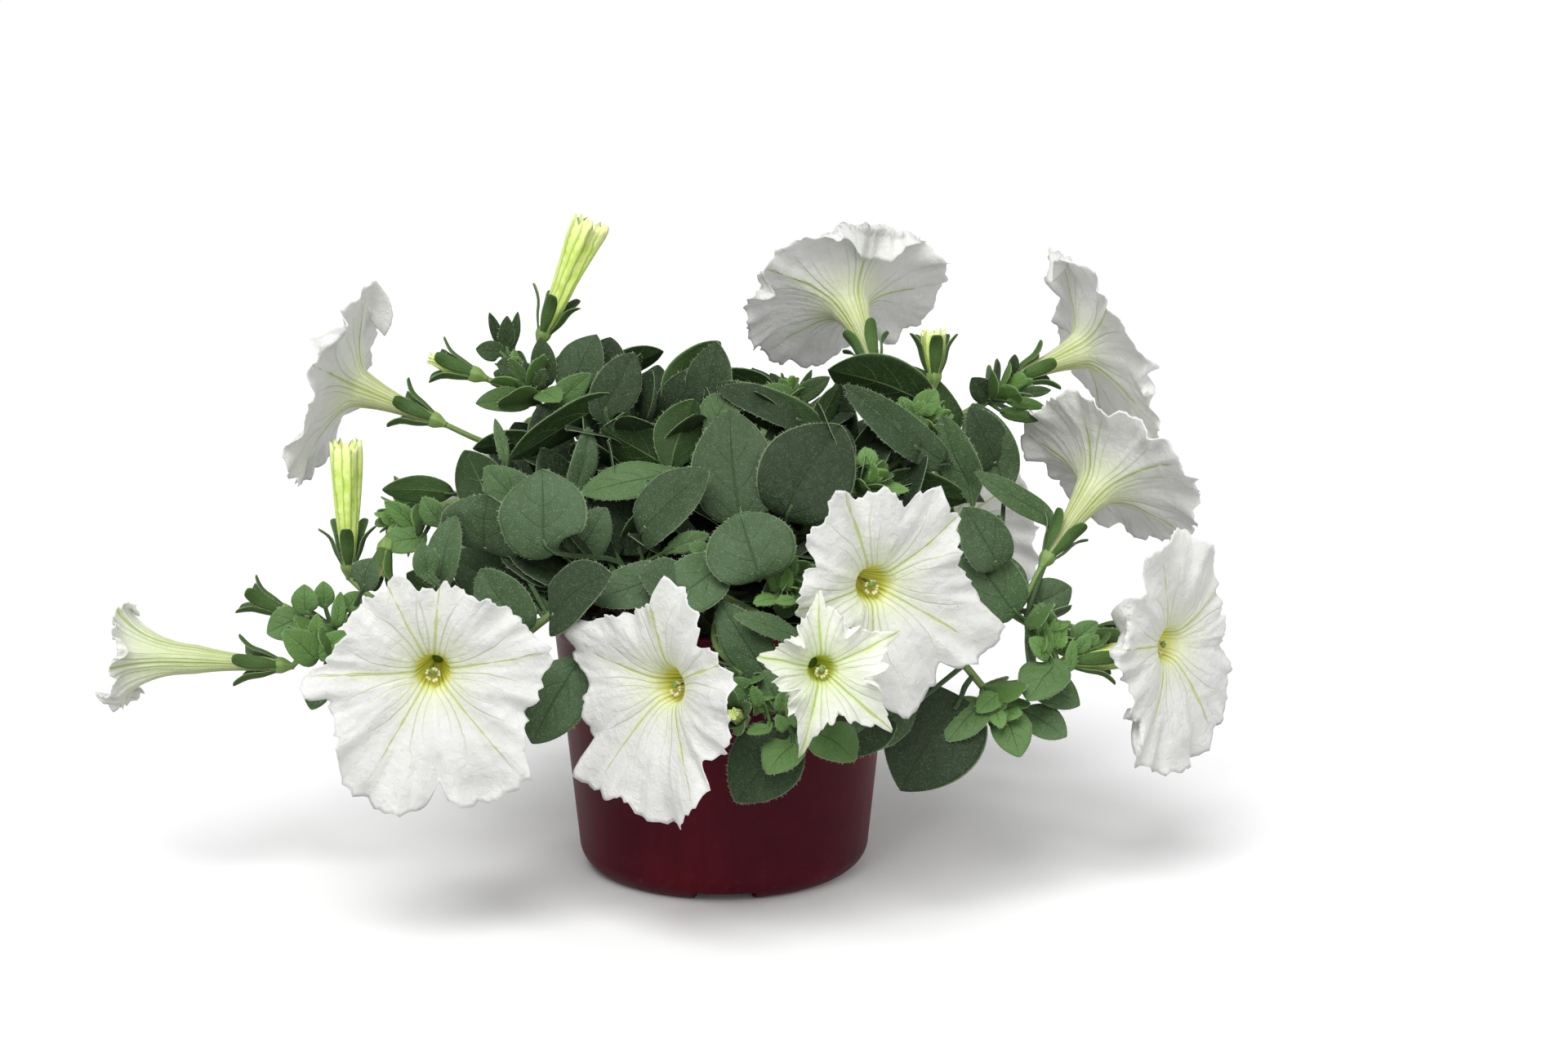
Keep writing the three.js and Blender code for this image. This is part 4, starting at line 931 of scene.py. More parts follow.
def make_petal_vein_group():
    """Petal veins from the corolla's own UV: the turn from the nearest midvein and the run past the throat.

    The distance from the midvein is the turn times the radius. The midvein is a line at nought, and on
    each side two finer veins start a little way off and bend away with the square of the run.
    """
    group, w, given, out = new_group(
        "petal_veins", ("Turn", "Run", "Wobble", "Breadth", "Ring"), ("Middle", "Side", "Halo", "Depth")
    )
    turn = w.size(w.times_plus(given["Turn"], 2.0, -1.0))
    run = w.times_plus(given["Run"], UV_REACH, -UV_THROAT)
    ahead = w.most(run, 0.0)
    off = w.times(turn, w.plus(ahead, THROAT_RADIUS))
    off = w.plus(off, w.times(w.less(given["Wobble"], 0.5), w.step(ahead, 0.0, 25.0, 0.1, 2.2)))
    width = w.times(w.step(ahead, 0.0, 34.0, 0.62, 0.26), given["Breadth"])
    middle = w.fade(w.over(w.size(off), width), 0.15, 1.0)
    w.put(out["Middle"], w.times(middle, w.fade(ahead, 26.0, 42.0)))
    bend = w.times(ahead, ahead)
    lines = []
    for start, rate, thick, end, power in ((1.9, 0.013, 0.34, 30.0, 0.75), (3.9, 0.021, 0.26, 21.0, 0.5)):
        gap = w.size(w.less(off, w.times_plus(bend, rate, start)))
        line = w.step(w.over(gap, w.times(given["Breadth"], thick)), 0.15, 1.0, power, 0.0)
        lines.append(w.times(line, w.fade(ahead, end * 0.45, end)))
    w.put(out["Side"], w.most(*lines))
    near = w.fade(w.over(w.size(off), w.times_plus(ahead, 0.16, 2.4)), 0.0, 1.0)
    ring = w.times(w.fade(run, 0.0, 15.0), given["Ring"])
    w.put(out["Halo"], w.most(ring, w.times(near, w.step(run, 6.0, 34.0, 0.8, 0.0))))
    w.put(out["Depth"], w.fade(run, -5.5, 3.5))
    return group


def make_leaf_finish(name, upper, lighter, under, young, veins, down):
    """Downy leaf green: dull grey-green above with fine pale down and sunken veins, plainer beneath. A value at each
    point darkens the leaf, partly painted shade and partly random tone, and the darker green beneath is partly painted
    shade.
    """
    finish, w, shader = new_finish(name)
    across, along = w.surface()
    where = w.place()
    vein = w.group(veins, Across=across, Along=along, Wobble=w.noise(where, 60.0, 2.0))
    hair = w.group(down, Place=where, Scale=1500.0)
    shade_and_tone, age, beneath = w.shade("shade_and_tone"), w.shade("age"), w.shade("under")
    body = w.mix(w.step(w.noise(where, 45.0, 3.0, 0.6), 0.3, 0.7), upper, lighter)
    body = w.mix(age, body, young)
    # Painted shade, with some random tone: the value darkens the leaf towards a quarter of its green, and on darker
    # leaves the pale down shows less.
    body = w.mix(w.step(shade_and_tone, 0.0, 1.0, 0.0, 0.9), body, dimmed(upper, 0.26))
    above = w.mix(w.times(hair["Grain"], w.step(shade_and_tone, 0.0, 1.0, 0.6, 0.3)), body, (0.22, 0.32, 0.21))
    above = w.mix(w.times(vein["Midrib"], 0.5), above, dimmed(upper, 0.5))
    above = w.mix(w.times(vein["Side"], 0.16), above, dimmed(upper, 0.6))
    # The underside's green, darker than the upper face's, is partly the leaf's own underside colour and partly painted
    # shade.
    below = w.mix(w.times(hair["Grain"], 0.25), w.mix(age, under, young), (0.2, 0.3, 0.14))
    lines = w.most(w.times(vein["Midrib"], 0.6), w.times(vein["Side"], 0.3))
    below = w.mix(lines, below, (0.16, 0.24, 0.09))
    shown = w.mix(beneath, above, below)
    shown = w.mix(w.times(vein["Margin"], 0.6), shown, (0.26, 0.36, 0.18))
    set_values(
        shader, Specular_IOR_Level=0.16, Sheen_Weight=0.06, Sheen_Roughness=0.35,
        Sheen_Tint=(0.86, 0.95, 0.84, 1),
    )
    sunk = w.most(vein["Midrib"], w.times(vein["Side"], 0.7))
    side = w.times(w.step(beneath, 0.0, 1.0, -1.0, 1.0), 0.6)
    rough = w.step(hair["Grain"], 0.0, 1.0, 0.56, 0.8)
    w.cover(shader, shown, rough, w.times_plus(sunk, side, w.times(hair["Height"], 0.6)), 0.0005, 0.8)
    return finish


def make_petal_finish(name, white, tint, vein_colour, throat, beneath, ring, veins):
    """Petal tissue: matt white with fine puckers, yellow-green veins and a green-yellow throat.

    A weak glow of the throat's inner face stands for the light that comes through the thin tissue.
    """
    finish, w, shader = new_finish(name)
    turn, run = w.surface()
    where = w.place()
    shared = {"Turn": turn, "Run": run, "Wobble": w.noise(where, 130.0, 2.0)}
    face = w.group(veins, **shared, Breadth=1.15, Ring=ring)
    back = w.group(veins, **shared, Breadth=1.7, Ring=1.0)
    face_lines = w.most(face["Middle"], face["Side"])
    under = w.shade("under")
    patch = w.noise(where, 120.0, 4.0, 0.6)
    cloth = w.mix(w.step(patch, 0.3, 0.7), white, dimmed(white, 0.93))
    front = w.mix(w.times(face["Halo"], 0.62), cloth, tint)
    lines = w.most(face["Middle"], w.times(face["Side"], 0.95))
    front = w.mix(w.times(lines, 0.85), front, vein_colour)
    front = w.mix(face["Depth"], front, throat)
    front = w.mix(w.times(w.times(face_lines, face["Depth"]), 0.8), front, (0.17, 0.18, 0.015))
    outer = w.mix(w.times(back["Halo"], 0.75), dimmed(white, 0.92), beneath)
    outer = w.mix(w.times(back["Depth"], 0.7), outer, dimmed(beneath, 0.92))
    outer = w.mix(w.times(w.most(back["Middle"], back["Side"]), 0.8), outer, (0.33, 0.45, 0.07))
    lit_through = w.times(face["Depth"], w.less(1.0, under))
    w.put(shader.inputs["Emission Color"], w.mix(lit_through, (0.0, 0.0, 0.0), front))
    set_values(
        shader, Specular_IOR_Level=0.25, Sheen_Weight=0.08, Subsurface_Weight=0.65, Subsurface_Scale=0.003,
        Subsurface_Radius=(1.0, 1.0, 1.0), Emission_Strength=0.14,
    )
    pucker = w.plus(w.noise(where, 420.0, 4.0, 0.6, 0.6), w.times(w.noise(where, 2200.0, 2.0), 0.12))
    height = w.plus(pucker, w.times(face_lines, -0.5))
    w.cover(shader, w.mix(under, front, outer), w.step(patch, 0.2, 0.8, 0.5, 0.68), height, 0.0009, 0.7)
    return finish


def make_stem_finish(name, green, pale, down):
    """Stem green with long soft streaks and pale down."""
    finish, w, shader = new_finish(name)
    around, away = w.surface()
    streak = w.node("ShaderNodeCombineXYZ", {"X": w.times(around, 14.0), "Y": w.times(away, 6.0)}).outputs[0]
    line = w.noise(streak, 1.0, 3.0)
    hair = w.group(down, Place=w.place(), Scale=2400.0)
    body = w.mix(w.step(line, 0.3, 0.7), green, pale)
    body = w.mix(w.times(w.shade("age"), 0.6), body, (0.25, 0.4, 0.08))
    body = w.mix(w.times(hair["Grain"], 0.3), body, (0.35, 0.42, 0.25))
    height = w.plus(line, w.times(hair["Height"], 0.5))
    w.cover(shader, body, w.step(line, 0.2, 0.8, 0.5, 0.66), height, 0.0003, 0.7)
    set_values(shader, Sheen_Weight=0.2, Sheen_Roughness=0.4)
    return finish


def make_bud_finish(name):
    """Furled bud: pale cream-green between darker green ribs, yellower towards its tip."""
    finish, w, shader = new_finish(name)
    around, away = w.surface()
    wobble = w.noise(w.place(), 300.0, 3.0)
    turns = w.reckon("FRACT", w.times_plus(around, 10.0, w.times(wobble, 0.5)))
    rib = w.fade(w.size(w.less(turns, 0.5)), 0.02, 0.2)
    body = w.mix(w.step(wobble, 0.3, 0.7), (0.58, 0.77, 0.14), (0.76, 0.89, 0.28))
    body = w.mix(w.step(away, 0.0, 0.35, 0.6, 0.0), body, (0.42, 0.58, 0.1))
    body = w.mix(w.step(away, 0.75, 1.0), body, (0.86, 0.93, 0.4))
    body = w.mix(w.times(rib, 0.65), body, (0.24, 0.42, 0.04))
    height = w.plus(wobble, w.times(rib, -0.4))
    w.cover(shader, body, w.step(wobble, 0.2, 0.8, 0.5, 0.66), height, 0.0005, 0.6)
    set_values(shader, Subsurface_Weight=0.15, Subsurface_Scale=0.002, Sheen_Weight=0.15)
    return finish


def make_plain_finish(name, first, second, scale, rough, height):
    """A small part's finish: two colours in soft patches with a fine grain."""
    finish, w, shader = new_finish(name)
    patch = w.noise(w.place(), scale, 4.0, 0.6)
    spread = w.step(patch, 0.2, 0.8, rough, min(rough + 0.2, 1.0))
    w.cover(shader, w.mix(w.step(patch, 0.35, 0.65), first, second), spread, patch, height, 0.8)
    return finish


def make_pot_finish():
    """Moulded satin plastic in dark burgundy: faint flow streaks, rubbed scuffs, and soil dust low down."""
    finish, w, shader = new_finish("burgundy_pot_plastic")
    where = w.place()
    height = w.node("ShaderNodeSeparateXYZ", {"Vector": where}).outputs[2]
    flow = w.noise(w.stretch(where, (1.0, 1.0, 0.12)), 90.0, 4.0, 0.6)
    body = w.mix(w.step(flow, 0.3, 0.7), (0.078, 0.005, 0.011), (0.1, 0.008, 0.014))
    body = w.mix(w.step(w.noise(where, 22.0, 3.0), 0.35, 0.7), body, (0.056, 0.004, 0.012))
    scratch = w.noise(w.stretch(where, (1.0, 1.0, 9.0), (0.4, 0.3, 0.5)), 60.0, 5.0, 0.75)
    scuffs = w.times(w.step(scratch, 0.66, 0.74), w.step(w.noise(where, 16.0, 1.0), 0.56, 0.68))
    body = w.mix(w.times(scuffs, 0.25), body, (0.2, 0.09, 0.09))
    specks = w.step(w.noise(where, 240.0, 5.0, 0.7), 0.55, 0.75)
    body = w.mix(w.times(specks, w.step(height, 0.0, 0.02, 0.35, 0.05)), body, (0.1, 0.07, 0.055))
    rough = w.plus(w.step(flow, 0.25, 0.75, 0.4, 0.5), w.times(scuffs, 0.25))
    grain = w.times(w.noise(where, 1500.0, 3.0), 0.2)
    w.cover(shader, body, rough, w.plus(grain, flow), 0.00012, 0.6)
    set_values(shader, Specular_IOR_Level=0.08)
    return finish


def make_mix_finish():
    """Damp peat: near-black brown crumbs with lighter fibres."""
    finish, w, shader = new_finish("peat_mix")
    where = w.place()
    patch = w.noise(where, 190.0, 5.0, 0.7)
    threads = w.noise(w.stretch(where, (1.0, 9.0, 3.0), (0.0, 0.0, 0.7)), 130.0, 4.0, 0.7)
    body = w.mix(w.step(patch, 0.35, 0.68), (0.016, 0.010, 0.007), (0.055, 0.033, 0.02))
    body = w.mix(w.times(w.step(threads, 0.6, 0.68), 0.6), body, (0.16, 0.1, 0.055))
    height = w.plus(patch, w.times(w.cells(where, 420.0), -0.8))
    w.cover(shader, body, w.step(patch, 0.3, 0.7, 0.82, 0.98), height, 0.0012, 0.9)
    return finish


# Shapes


def stem_points(key):
    """The points that a shoot's stem passes, from just inside the crown to its tip."""
    (turn, height, reach), route, _ = SHOOTS[key]
    turn = math.radians(turn)
    return [(reach * math.cos(turn), reach * math.sin(turn), height)] + route


def add_rod(skin, points, radii, steps, count, kind=0, age=0.0, last=1.0):
    """A round rod carried along a curve through points, its radius running evenly through the radii."""
    shares = np.linspace(0, last, steps)
    along = heading(points, shares)
    sides, ups = carried(along, level_side(along[0]))
    radius = np.interp(np.linspace(0, 1, steps), np.linspace(0, 1, len(radii)), radii)
    centres = through(points, shares)
    skin.tube(centres, sides, ups, radius, count, kind, age)
    return centres, sides, ups, radius


def add_down_on_rod(skin, rod, count, length, seed):
    """Hairs standing off a rod: random places along and around it, leaning a little forward."""
    centres, sides, ups, radius = rod
    rng = np.random.default_rng(seed)
    place = rng.uniform(0, len(centres) - 1.001, count)
    low = place.astype(int)
    part = (place - low)[:, None]
    out = outward(rng.uniform(0, 2 * math.pi, count)[:, None], sides[low], ups[low])
    middle = centres[low] * (1 - part) + centres[low + 1] * part
    forward = unit(centres[low + 1] - centres[low])
    ways = out + 0.35 * forward + rng.uniform(-0.25, 0.25, (count, 3))
    roots = middle + out * radius[low][:, None] * 0.95
    skin.hairs(roots, ways, rng.uniform(0.6, 1.1, count) * length, STEM_HAIR_WIDTH)


def add_blade(skin, route, first, face, width, shape, seed, rows, columns, age=0.0, fold=0.16, curl=0.08,
              wave=0.6, quilt=0.13, thickness=LEAF_THICKNESS, hair_gap=0.9, shade_and_tone=None):
    """A leaf blade along the last part of a curve through points.

    Half width at x along the blade: x to the power p times (1 - x) to the power q, scaled to the given
    width. Height off the midrib: folded up in proportion to the distance from it, curled down with its
    square, waved along the margin, and quilted between side veins that slant forward.
    """
    p, q = shape
    x = (1 - np.cos(np.linspace(0.0, math.pi * 0.985, rows))) / 2
    shares = first + (1 - first) * x
    along = heading(route, shares)
    sides, ups = carried_back(along, np.cross(face, along[-1]))
    x = x[:, None]
    broadest = p / (p + q)
    profile = x**p * (1 - x) ** q / (broadest**p * (1 - broadest) ** q)
    half = np.maximum(width / 2 * profile, np.where(x < 0.3, 1.1, 0.12))
    across = np.linspace(-1, 1, columns)[None]
    away = np.abs(across)
    rng = np.random.default_rng(seed)
    starts = rng.uniform(0, 2 * math.pi, 4)
    side_wave = np.where(across > 0, np.sin(9 * x + starts[0]), np.sin(8 * x + starts[1]))
    turn = 2 * math.pi * (x - VEIN_SLANT * away**VEIN_BEND + VEIN_START) / VEIN_GAP
    between = -np.cos(turn) * np.sqrt(np.clip(away * (1 - away) * 4, 0, 1))
    size = min(width / 30, 1.2)
    rise = fold * away * half - curl * across**2 * half
    rise = rise + wave * size * away**3 * side_wave * smooth(0.05, 0.3, x)
    rise = rise + quilt * size * between * smooth(0.05, 0.25, x) * smooth(1.0, 0.75, x)
    rise = rise + 0.35 * size * relief(x * 40 + 90 * seed % 700, across * 12, 9, seed)
    rise = rise - 0.25 * size * np.exp(-((across * half / 0.8) ** 2))
    lean = rng.uniform(-0.05, 0.05) * width * np.sin(x * 3)
    centre = through(route, shares)[:, None]
    grid = centre + sides[:, None] * (across * half + lean)[..., None] + ups[:, None] * rise[..., None]
    uv = np.stack(np.broadcast_arrays((across + 1) / 2, x), -1)
    thick = thickness * (1 - 0.45 * away**2) * np.ones_like(half)
    skin.plate(grid, thick, uv, age=age, shade_and_tone=rng.uniform(0, 0.8) if shade_and_tone is None else shade_and_tone)
    for column, sign in ((0, -1), (-1, 1)):
        edge = grid[:, column]
        run = run_along(edge)
        count = int(run[-1] / hair_gap)
        where = np.sort(rng.uniform(0, run[-1], count))
        roots, out, ahead = (
            np.stack([np.interp(where, run, line[:, axis]) for axis in range(3)], 1)
            for line in (edge, sides, along)
        )
        ways = out * sign + 0.6 * ahead + rng.uniform(-0.45, 0.45, (count, 3))
        skin.hairs(roots, ways, rng.uniform(0.6, 1.3, count), LEAF_HAIR_WIDTH)


def leaf_route(shoot, along, base, tip, width, face):
    """A leaf's midline: out of the stem's side, through an elbow to the blade's base, arched to its tip."""
    on_stem, way = spot(stem_points(shoot), along)
    base, tip = np.array(base, float), np.array(tip, float)
    toward = unit(base - on_stem)
    leave = unit(toward - way * (toward @ way))
    seat = on_stem + leave * 2.15
    return [seat, seat + 3 * leave + 2 * toward, base, (base + tip) / 2 + face * 0.08 * width, tip]


def add_leaf(skin, shoot, along, base, tip, width, looks, shade_and_tone, seed):
    """A stalked leaf on a shoot: the stalk as a rod and the blade from just before its base to its tip."""
    face = facing(*looks)
    route = leaf_route(shoot, along, base, tip, width, face)
    on_stem, _ = spot(stem_points(shoot), along)
    add_rod(skin, [on_stem] + route[1:], [1.0, 1.15, 0.9], 12, 8, age=0.1, last=0.56)
    add_blade(skin, route, BLADE_START, face, width, (0.62, 0.8), seed, 26, 17, shade_and_tone=shade_and_tone)


def add_sepal_ring(skin, seat, axis, opening, seed):
    """Five strap-shaped sepals round a seat: each rises along the tube and leans out to its round tip."""
    first, second = across_from(axis)
    rng = np.random.default_rng(seed)
    for number in range(5):
        out = outward(2 * math.pi * (number + 0.3) / 5, first, second)
        bit = rng.uniform(-0.6, 1.2, 2)
        steps = (
            (2.0, -2.2),
            (opening + 1.0, 0.3 * SEPAL_LENGTH),
            (opening + 2.6 + 0.5 * bit[0], 0.7 * SEPAL_LENGTH),
            (opening + 6.2 + bit[0], SEPAL_LENGTH + bit[1]),
        )
        route = [seat + out * reach + axis * rise for reach, rise in steps]
        add_blade(skin, route, 0.0, -out, SEPAL_WIDTH, (0.6, 0.32), seed * 7 + number, 14, 7, age=0.3,
                  fold=0.25, curl=0.0, wave=0.2, quilt=0.0, thickness=0.55, hair_gap=1.3)


def add_stalk_with_calyx(skin, key, along, via, seat, axis, opening, seed):
    """A flower's stalk from the stem, a fluted cup under its seat, and the ring of sepals."""
    start, _ = spot(stem_points(key), along)
    foot = seat - axis * 6
    rod = add_rod(skin, [start, via, foot], [PEDICEL_RADIUS * 1.1, PEDICEL_RADIUS], 22, 9, STEM, 0.4)
    add_down_on_rod(skin, rod, 60, 1.1, seed)
    shares = np.linspace(0, 1, 9)
    centres = foot - axis * 0.8 + (seat + axis * 1.2 - foot) * shares[:, None]
    radii = PEDICEL_RADIUS + (CUP_RADIUS - PEDICEL_RADIUS) * smooth(0, 0.7, shares)
    skin.straight_tube(centres, axis, radii, 20, STEM, 0.6, 1 + 0.1 * np.cos(5 * round_turns(20) - 1.9))
    add_sepal_ring(skin, seat, axis, opening, seed)


def add_rosette(skin, key, seed):
    """The young leaves at a shoot's tip, in a spiral: each stands further in and steeper than the last."""
    tip, along = spot(stem_points(key), 1.0)
    first, second = across_from(along)
    for number in range(13):
        out = outward(math.radians(GOLDEN_TURN * number), first, second)
        inward = number / 12
        size = SHOOTS[key][2] * (1.3 - 0.7 * inward)
        spread = 1.05 - 0.8 * inward**0.8
        start = tip + along * (0.8 * number - 6) + out * 0.6
        rise = 0.18 + 0.45 * inward
        route = [
            start,
            start + out * 0.5 * size * spread + along * rise * size,
            start + out * 0.98 * size * spread + along * (rise + 0.2 + 0.35 * inward) * size,
        ]
        width = size * (0.6 - 0.12 * inward)
        add_blade(skin, route, 0.0, along * 2 - out, width, (0.8, 0.45), seed * 31 + number, 12, 7,
                  age=0.5 + 0.45 * inward, fold=0.22, curl=0.06, wave=0.3, quilt=0.12, hair_gap=1.2)
    add_rod(skin, [tip + along * reach for reach in (-2, 3, 6)], [1.3, 1.6, 0.6], 8, 8, age=0.9)


def limb_edge(outline, turn):
    """The limb's radius at each turn in degrees: an even S from each outline point to the next."""
    places, radii = np.array(outline, float).T
    high = np.searchsorted(places, turn, side="right") % len(places)
    low = (high - 1) % len(places)
    share = ((turn - places[low]) % 360) / ((places[high] - places[low]) % 360)
    return radii[low] + (radii[high] - radii[low]) * smooth(0, 1, share)


def flower_axis(flower, shares):
    """A flower tube's middle line and directions: a bend from the seat to the way that the throat looks."""
    seat, throat = np.array(flower["seat"], float), np.array(flower["throat"], float)
    bend = throat - facing(*flower["facing"]) * 0.5 * np.linalg.norm(throat - seat)
    u = np.atleast_1d(shares)[:, None]
    place = (1 - u) ** 2 * seat + 2 * u * (1 - u) * bend + u**2 * throat
    return place, unit(2 * (1 - u) * (bend - seat) + 2 * u * (throat - bend))


def make_corolla(key, number, columns, tube_rows, limb_rows):
    """A corolla: a tube that widens to the throat and a limb that flares out to a ruffled, torn edge.

    Tube radius: from the seat's to the throat's with a power of the run. Limb: the radius runs from the
    throat's to the outline's; its height in front of the throat is stand times the root of the share
    times (1.35 - 0.35 share), plus lobes that swell between the midveins, ruffles that grow with the
    share, and puckers. A flap is bent over by its angle where it passes the outline.
    """
    flower = FLOWERS[key]
    seed = FLOWER_SEED + number
    way = facing(*flower["facing"])
    look = math.radians(flower["facing"][0])
    across = np.array([math.cos(look), math.sin(look), 0.0])
    upward = np.cross(way, across)
    mouth = flower.get("throat_radius", THROAT_RADIUS)
    turn = round_turns(columns)
    degrees = np.degrees(turn)
    veins = np.array(flower["veins"], float)
    lobe = smooth(0, 30, np.abs(apart(degrees[:, None], veins)).min(1))

    u = np.linspace(0, 1, tube_rows)[:, None]
    centres, along = flower_axis(flower, u[:, 0])
    sides, ups = carried_back(along, across)
    tube_radius = TUBE_RADIUS + (mouth - TUBE_RADIUS) * (0.45 * u + 0.55 * u**3)
    tube_radius = tube_radius * (1 - 0.05 * (1 - lobe) * u)
    tube = centres[:, None] + tube_radius[..., None] * outward(turn[:, None], sides[:, None], ups[:, None])

    share = (np.linspace(0, 1, limb_rows + 1)[1:] ** 1.25)[:, None]
    edge = limb_edge(flower["outline"], degrees)
    edge = edge + 0.45 * waves(turn, (13, 19, 27), seed) + 0.5 * waves(turn, (37, 53, 71), seed + 1)
    flap, lean = np.zeros(columns), np.full(columns, 1e-3)
    for place, spread, length, angle in flower.get("flaps", ()):
        near = np.exp(-((apart(degrees, place) / spread) ** 2))
        flap, lean = flap + length * near, lean + math.radians(angle) * near
    laid_out = mouth + (edge + flap - mouth) * share
    over = np.maximum(laid_out - edge * (1 - 0.02 * flap), 0) * (flap > 0.3)
    bent = lean * smooth(0, 3.5, over)
    radius = laid_out - over + over * np.cos(bent)
    flat_x, flat_y = radius * np.cos(turn), radius * np.sin(turn)
    size = edge / 42
    height = flower["stand"] * np.sqrt(share) * (1.35 - 0.35 * share)
    height = height + 1.5 * size * lobe * np.sin(math.pi * np.clip(share * 1.1, 0, 1)) * smooth(0, 0.5, share)
    height = height + over * np.sin(bent)
    height = height + 1.7 * size * share**3 * waves(turn, (7, 11, 16, 23), seed + 2)
    height = height + 1.1 * size * share**2 * relief(flat_x, flat_y, 8.0, seed + 3)
    crease = relief(degrees / 3.2, share * 2.2, 1.0, seed + 4)
    height = height + 0.8 * size * smooth(0.25, 0.9, share) * crease
    height = height + 0.28 * smooth(0.1, 0.5, share) * relief(flat_x, flat_y, 3.0, seed + 5)
    height = height + flower.get("roll", 0.0) * lobe * share**2
    side = relief(flat_x, flat_y, 6.0, seed + 6) * 0.5 * share
    limb = (
        np.array(flower["throat"], float)
        + across * (flat_x - side * np.sin(turn))[..., None]
        + upward * (flat_y + side * np.cos(turn))[..., None]
        + way * height[..., None]
    )

    tube_run = np.repeat((u - 1) * run_along(centres)[-1], columns, 1)
    corner_run = four_corners(joined(np.concatenate([tube_run, laid_out - mouth])))
    around = np.append(degrees, 360.0)
    middle = (around[:-1] + around[1:]) / 2
    of_lobe = veins[np.abs(apart(middle[:, None], veins)).argmin(1)]
    corner_turn = np.stack([around[:-1], around[:-1], around[1:], around[1:]], -1)
    corner_turn = np.broadcast_to(np.radians(apart(corner_turn, of_lobe[:, None])), corner_run.shape)
    uvs = np.stack([(corner_turn + 1) / 2, (corner_run + UV_THROAT) / UV_REACH], -1)

    skin = Skin()
    skin.plate(np.concatenate([tube, limb]), PETAL_THICKNESS, uvs, wrap=True)
    add_stamens(skin, centres[tube_rows // 2], centres[-1], along[-1], sides[-1], ups[-1], mouth, seed)
    return skin


def add_stamens(skin, low, top, way, side, up, mouth, seed):
    """Five filaments with two-lobed anthers round a style with a flat green stigma, deep in the throat."""
    rng = np.random.default_rng(seed)
    for number in range(5):
        out = outward(2 * math.pi * (number + 0.15 * rng.uniform(-1, 1)) / 5, side, up)
        head = top + out * mouth * 0.3 - up * mouth * 0.2 - way * rng.uniform(1.0, 3.4)
        add_rod(skin, [low, (low + head) / 2 + out * 0.5, head], [0.35, 0.25], 6, 5, ANTHER)
        for lean in (-0.45, 0.45):
            lobe = head + np.cross(way, out) * lean
            add_grain(skin, lobe, unit(way + 0.4 * out), 0.62, 1.0, seed + number, ANTHER)
    add_rod(skin, [low, (low + top) / 2, top - way * 1.6], [0.5, 0.45], 6, 6, STIGMA)
    add_grain(skin, top - way * 1.2, way, 1.35, 0.7, seed, STIGMA)


def add_grain(skin, centre, axis, across, along, seed, kind):
    """A small rounded body: rings whose radius follows a half circle, a little uneven."""
    lift = np.linspace(-1, 1, 7)
    radii = across * np.sqrt(np.maximum(1 - lift**2, 0.02))
    flute = 1 + 0.08 * waves(round_turns(8), (2, 3), seed)
    skin.straight_tube(centre + axis * (along * lift)[:, None], axis, radii, 8, kind, flute=flute)


def make_bud(key, number):
    """A furled bud: five pleats twisted round a long cone that is widest near its frilled, hollow tip."""
    base, tip, (low, middle, high) = BUDS[key][3:]
    base, tip = np.array(base, float), np.array(tip, float)
    axis = unit(tip - base)
    turn = round_turns(40)
    share = np.linspace(0, 1, 22)
    radii = [low, low * 1.5, middle * 1.12, high * 0.95, high * 0.94]
    radius = np.interp(share, [0, 0.15, 0.5, 0.85, 1], radii)
    radius = np.convolve(np.pad(radius, 2, mode="edge"), np.ones(5) / 5, "valid")
    share = np.append(share, np.linspace(1, 0.86, 5)[1:])[:, None]
    radius = np.append(radius, radius[-1] * np.array([0.8, 0.55, 0.3, 0.06]))[:, None]
    pleat = 1 + 0.1 * np.cos(5 * turn - 3.2 * share - number) * smooth(0, 0.5, share)
    frill = 0.06 * high * waves(turn, (5, 9, 13), FRILL_SEED + number) * smooth(0.7, 1, share)
    reach = radius * pleat + frill * (radius > 1)
    uneven = 0.24 * high * waves(turn, (5, 11, 17), TIP_SEED + number) * smooth(0.9, 1, share)
    rise = share * np.linalg.norm(tip - base) + uneven
    points = base + axis * rise[..., None] + reach[..., None] * outward(turn[:, None], *across_from(axis))
    skin = Skin()
    numbers = skin.add_points(points)
    uvs = np.stack(np.meshgrid(np.arange(len(turn) + 1) / len(turn), share), -1)
    skin.grid(numbers, uvs, wrap=True, turned=True)
    for row in (0, -1):
        skin.fan(numbers[row], points[row].mean(0), uvs[row, 0], row == 0)
    return skin


def turned_body(skin, profile, turns, shift):
    """A body turned round the upright axis: the profile's radii and heights carried through the turns.

    The profile starts and ends on the axis, and shift moves the points of the grid.
    """
    profile = np.asarray(profile, float)
    radius, height = profile[1:-1, :1], profile[1:-1, 1:]
    grid = np.stack(np.broadcast_arrays(radius * np.cos(turns), radius * np.sin(turns), height), -1)
    shift(grid)
    numbers = skin.add_points(grid)
    run = run_along(profile) / UV_REACH
    around = np.append(turns, turns[0] + 2 * math.pi) / (2 * math.pi)
    skin.grid(numbers, np.stack(np.meshgrid(around, run[1:-1]), -1), wrap=True, turned=True)
    for row in (0, -1):
        pole = profile[row, 1] + (grid[row, :, 2].mean() - height[row, 0])
        skin.fan(numbers[row], (0.0, 0.0, pole), (0.5, run[0]), row == 0)


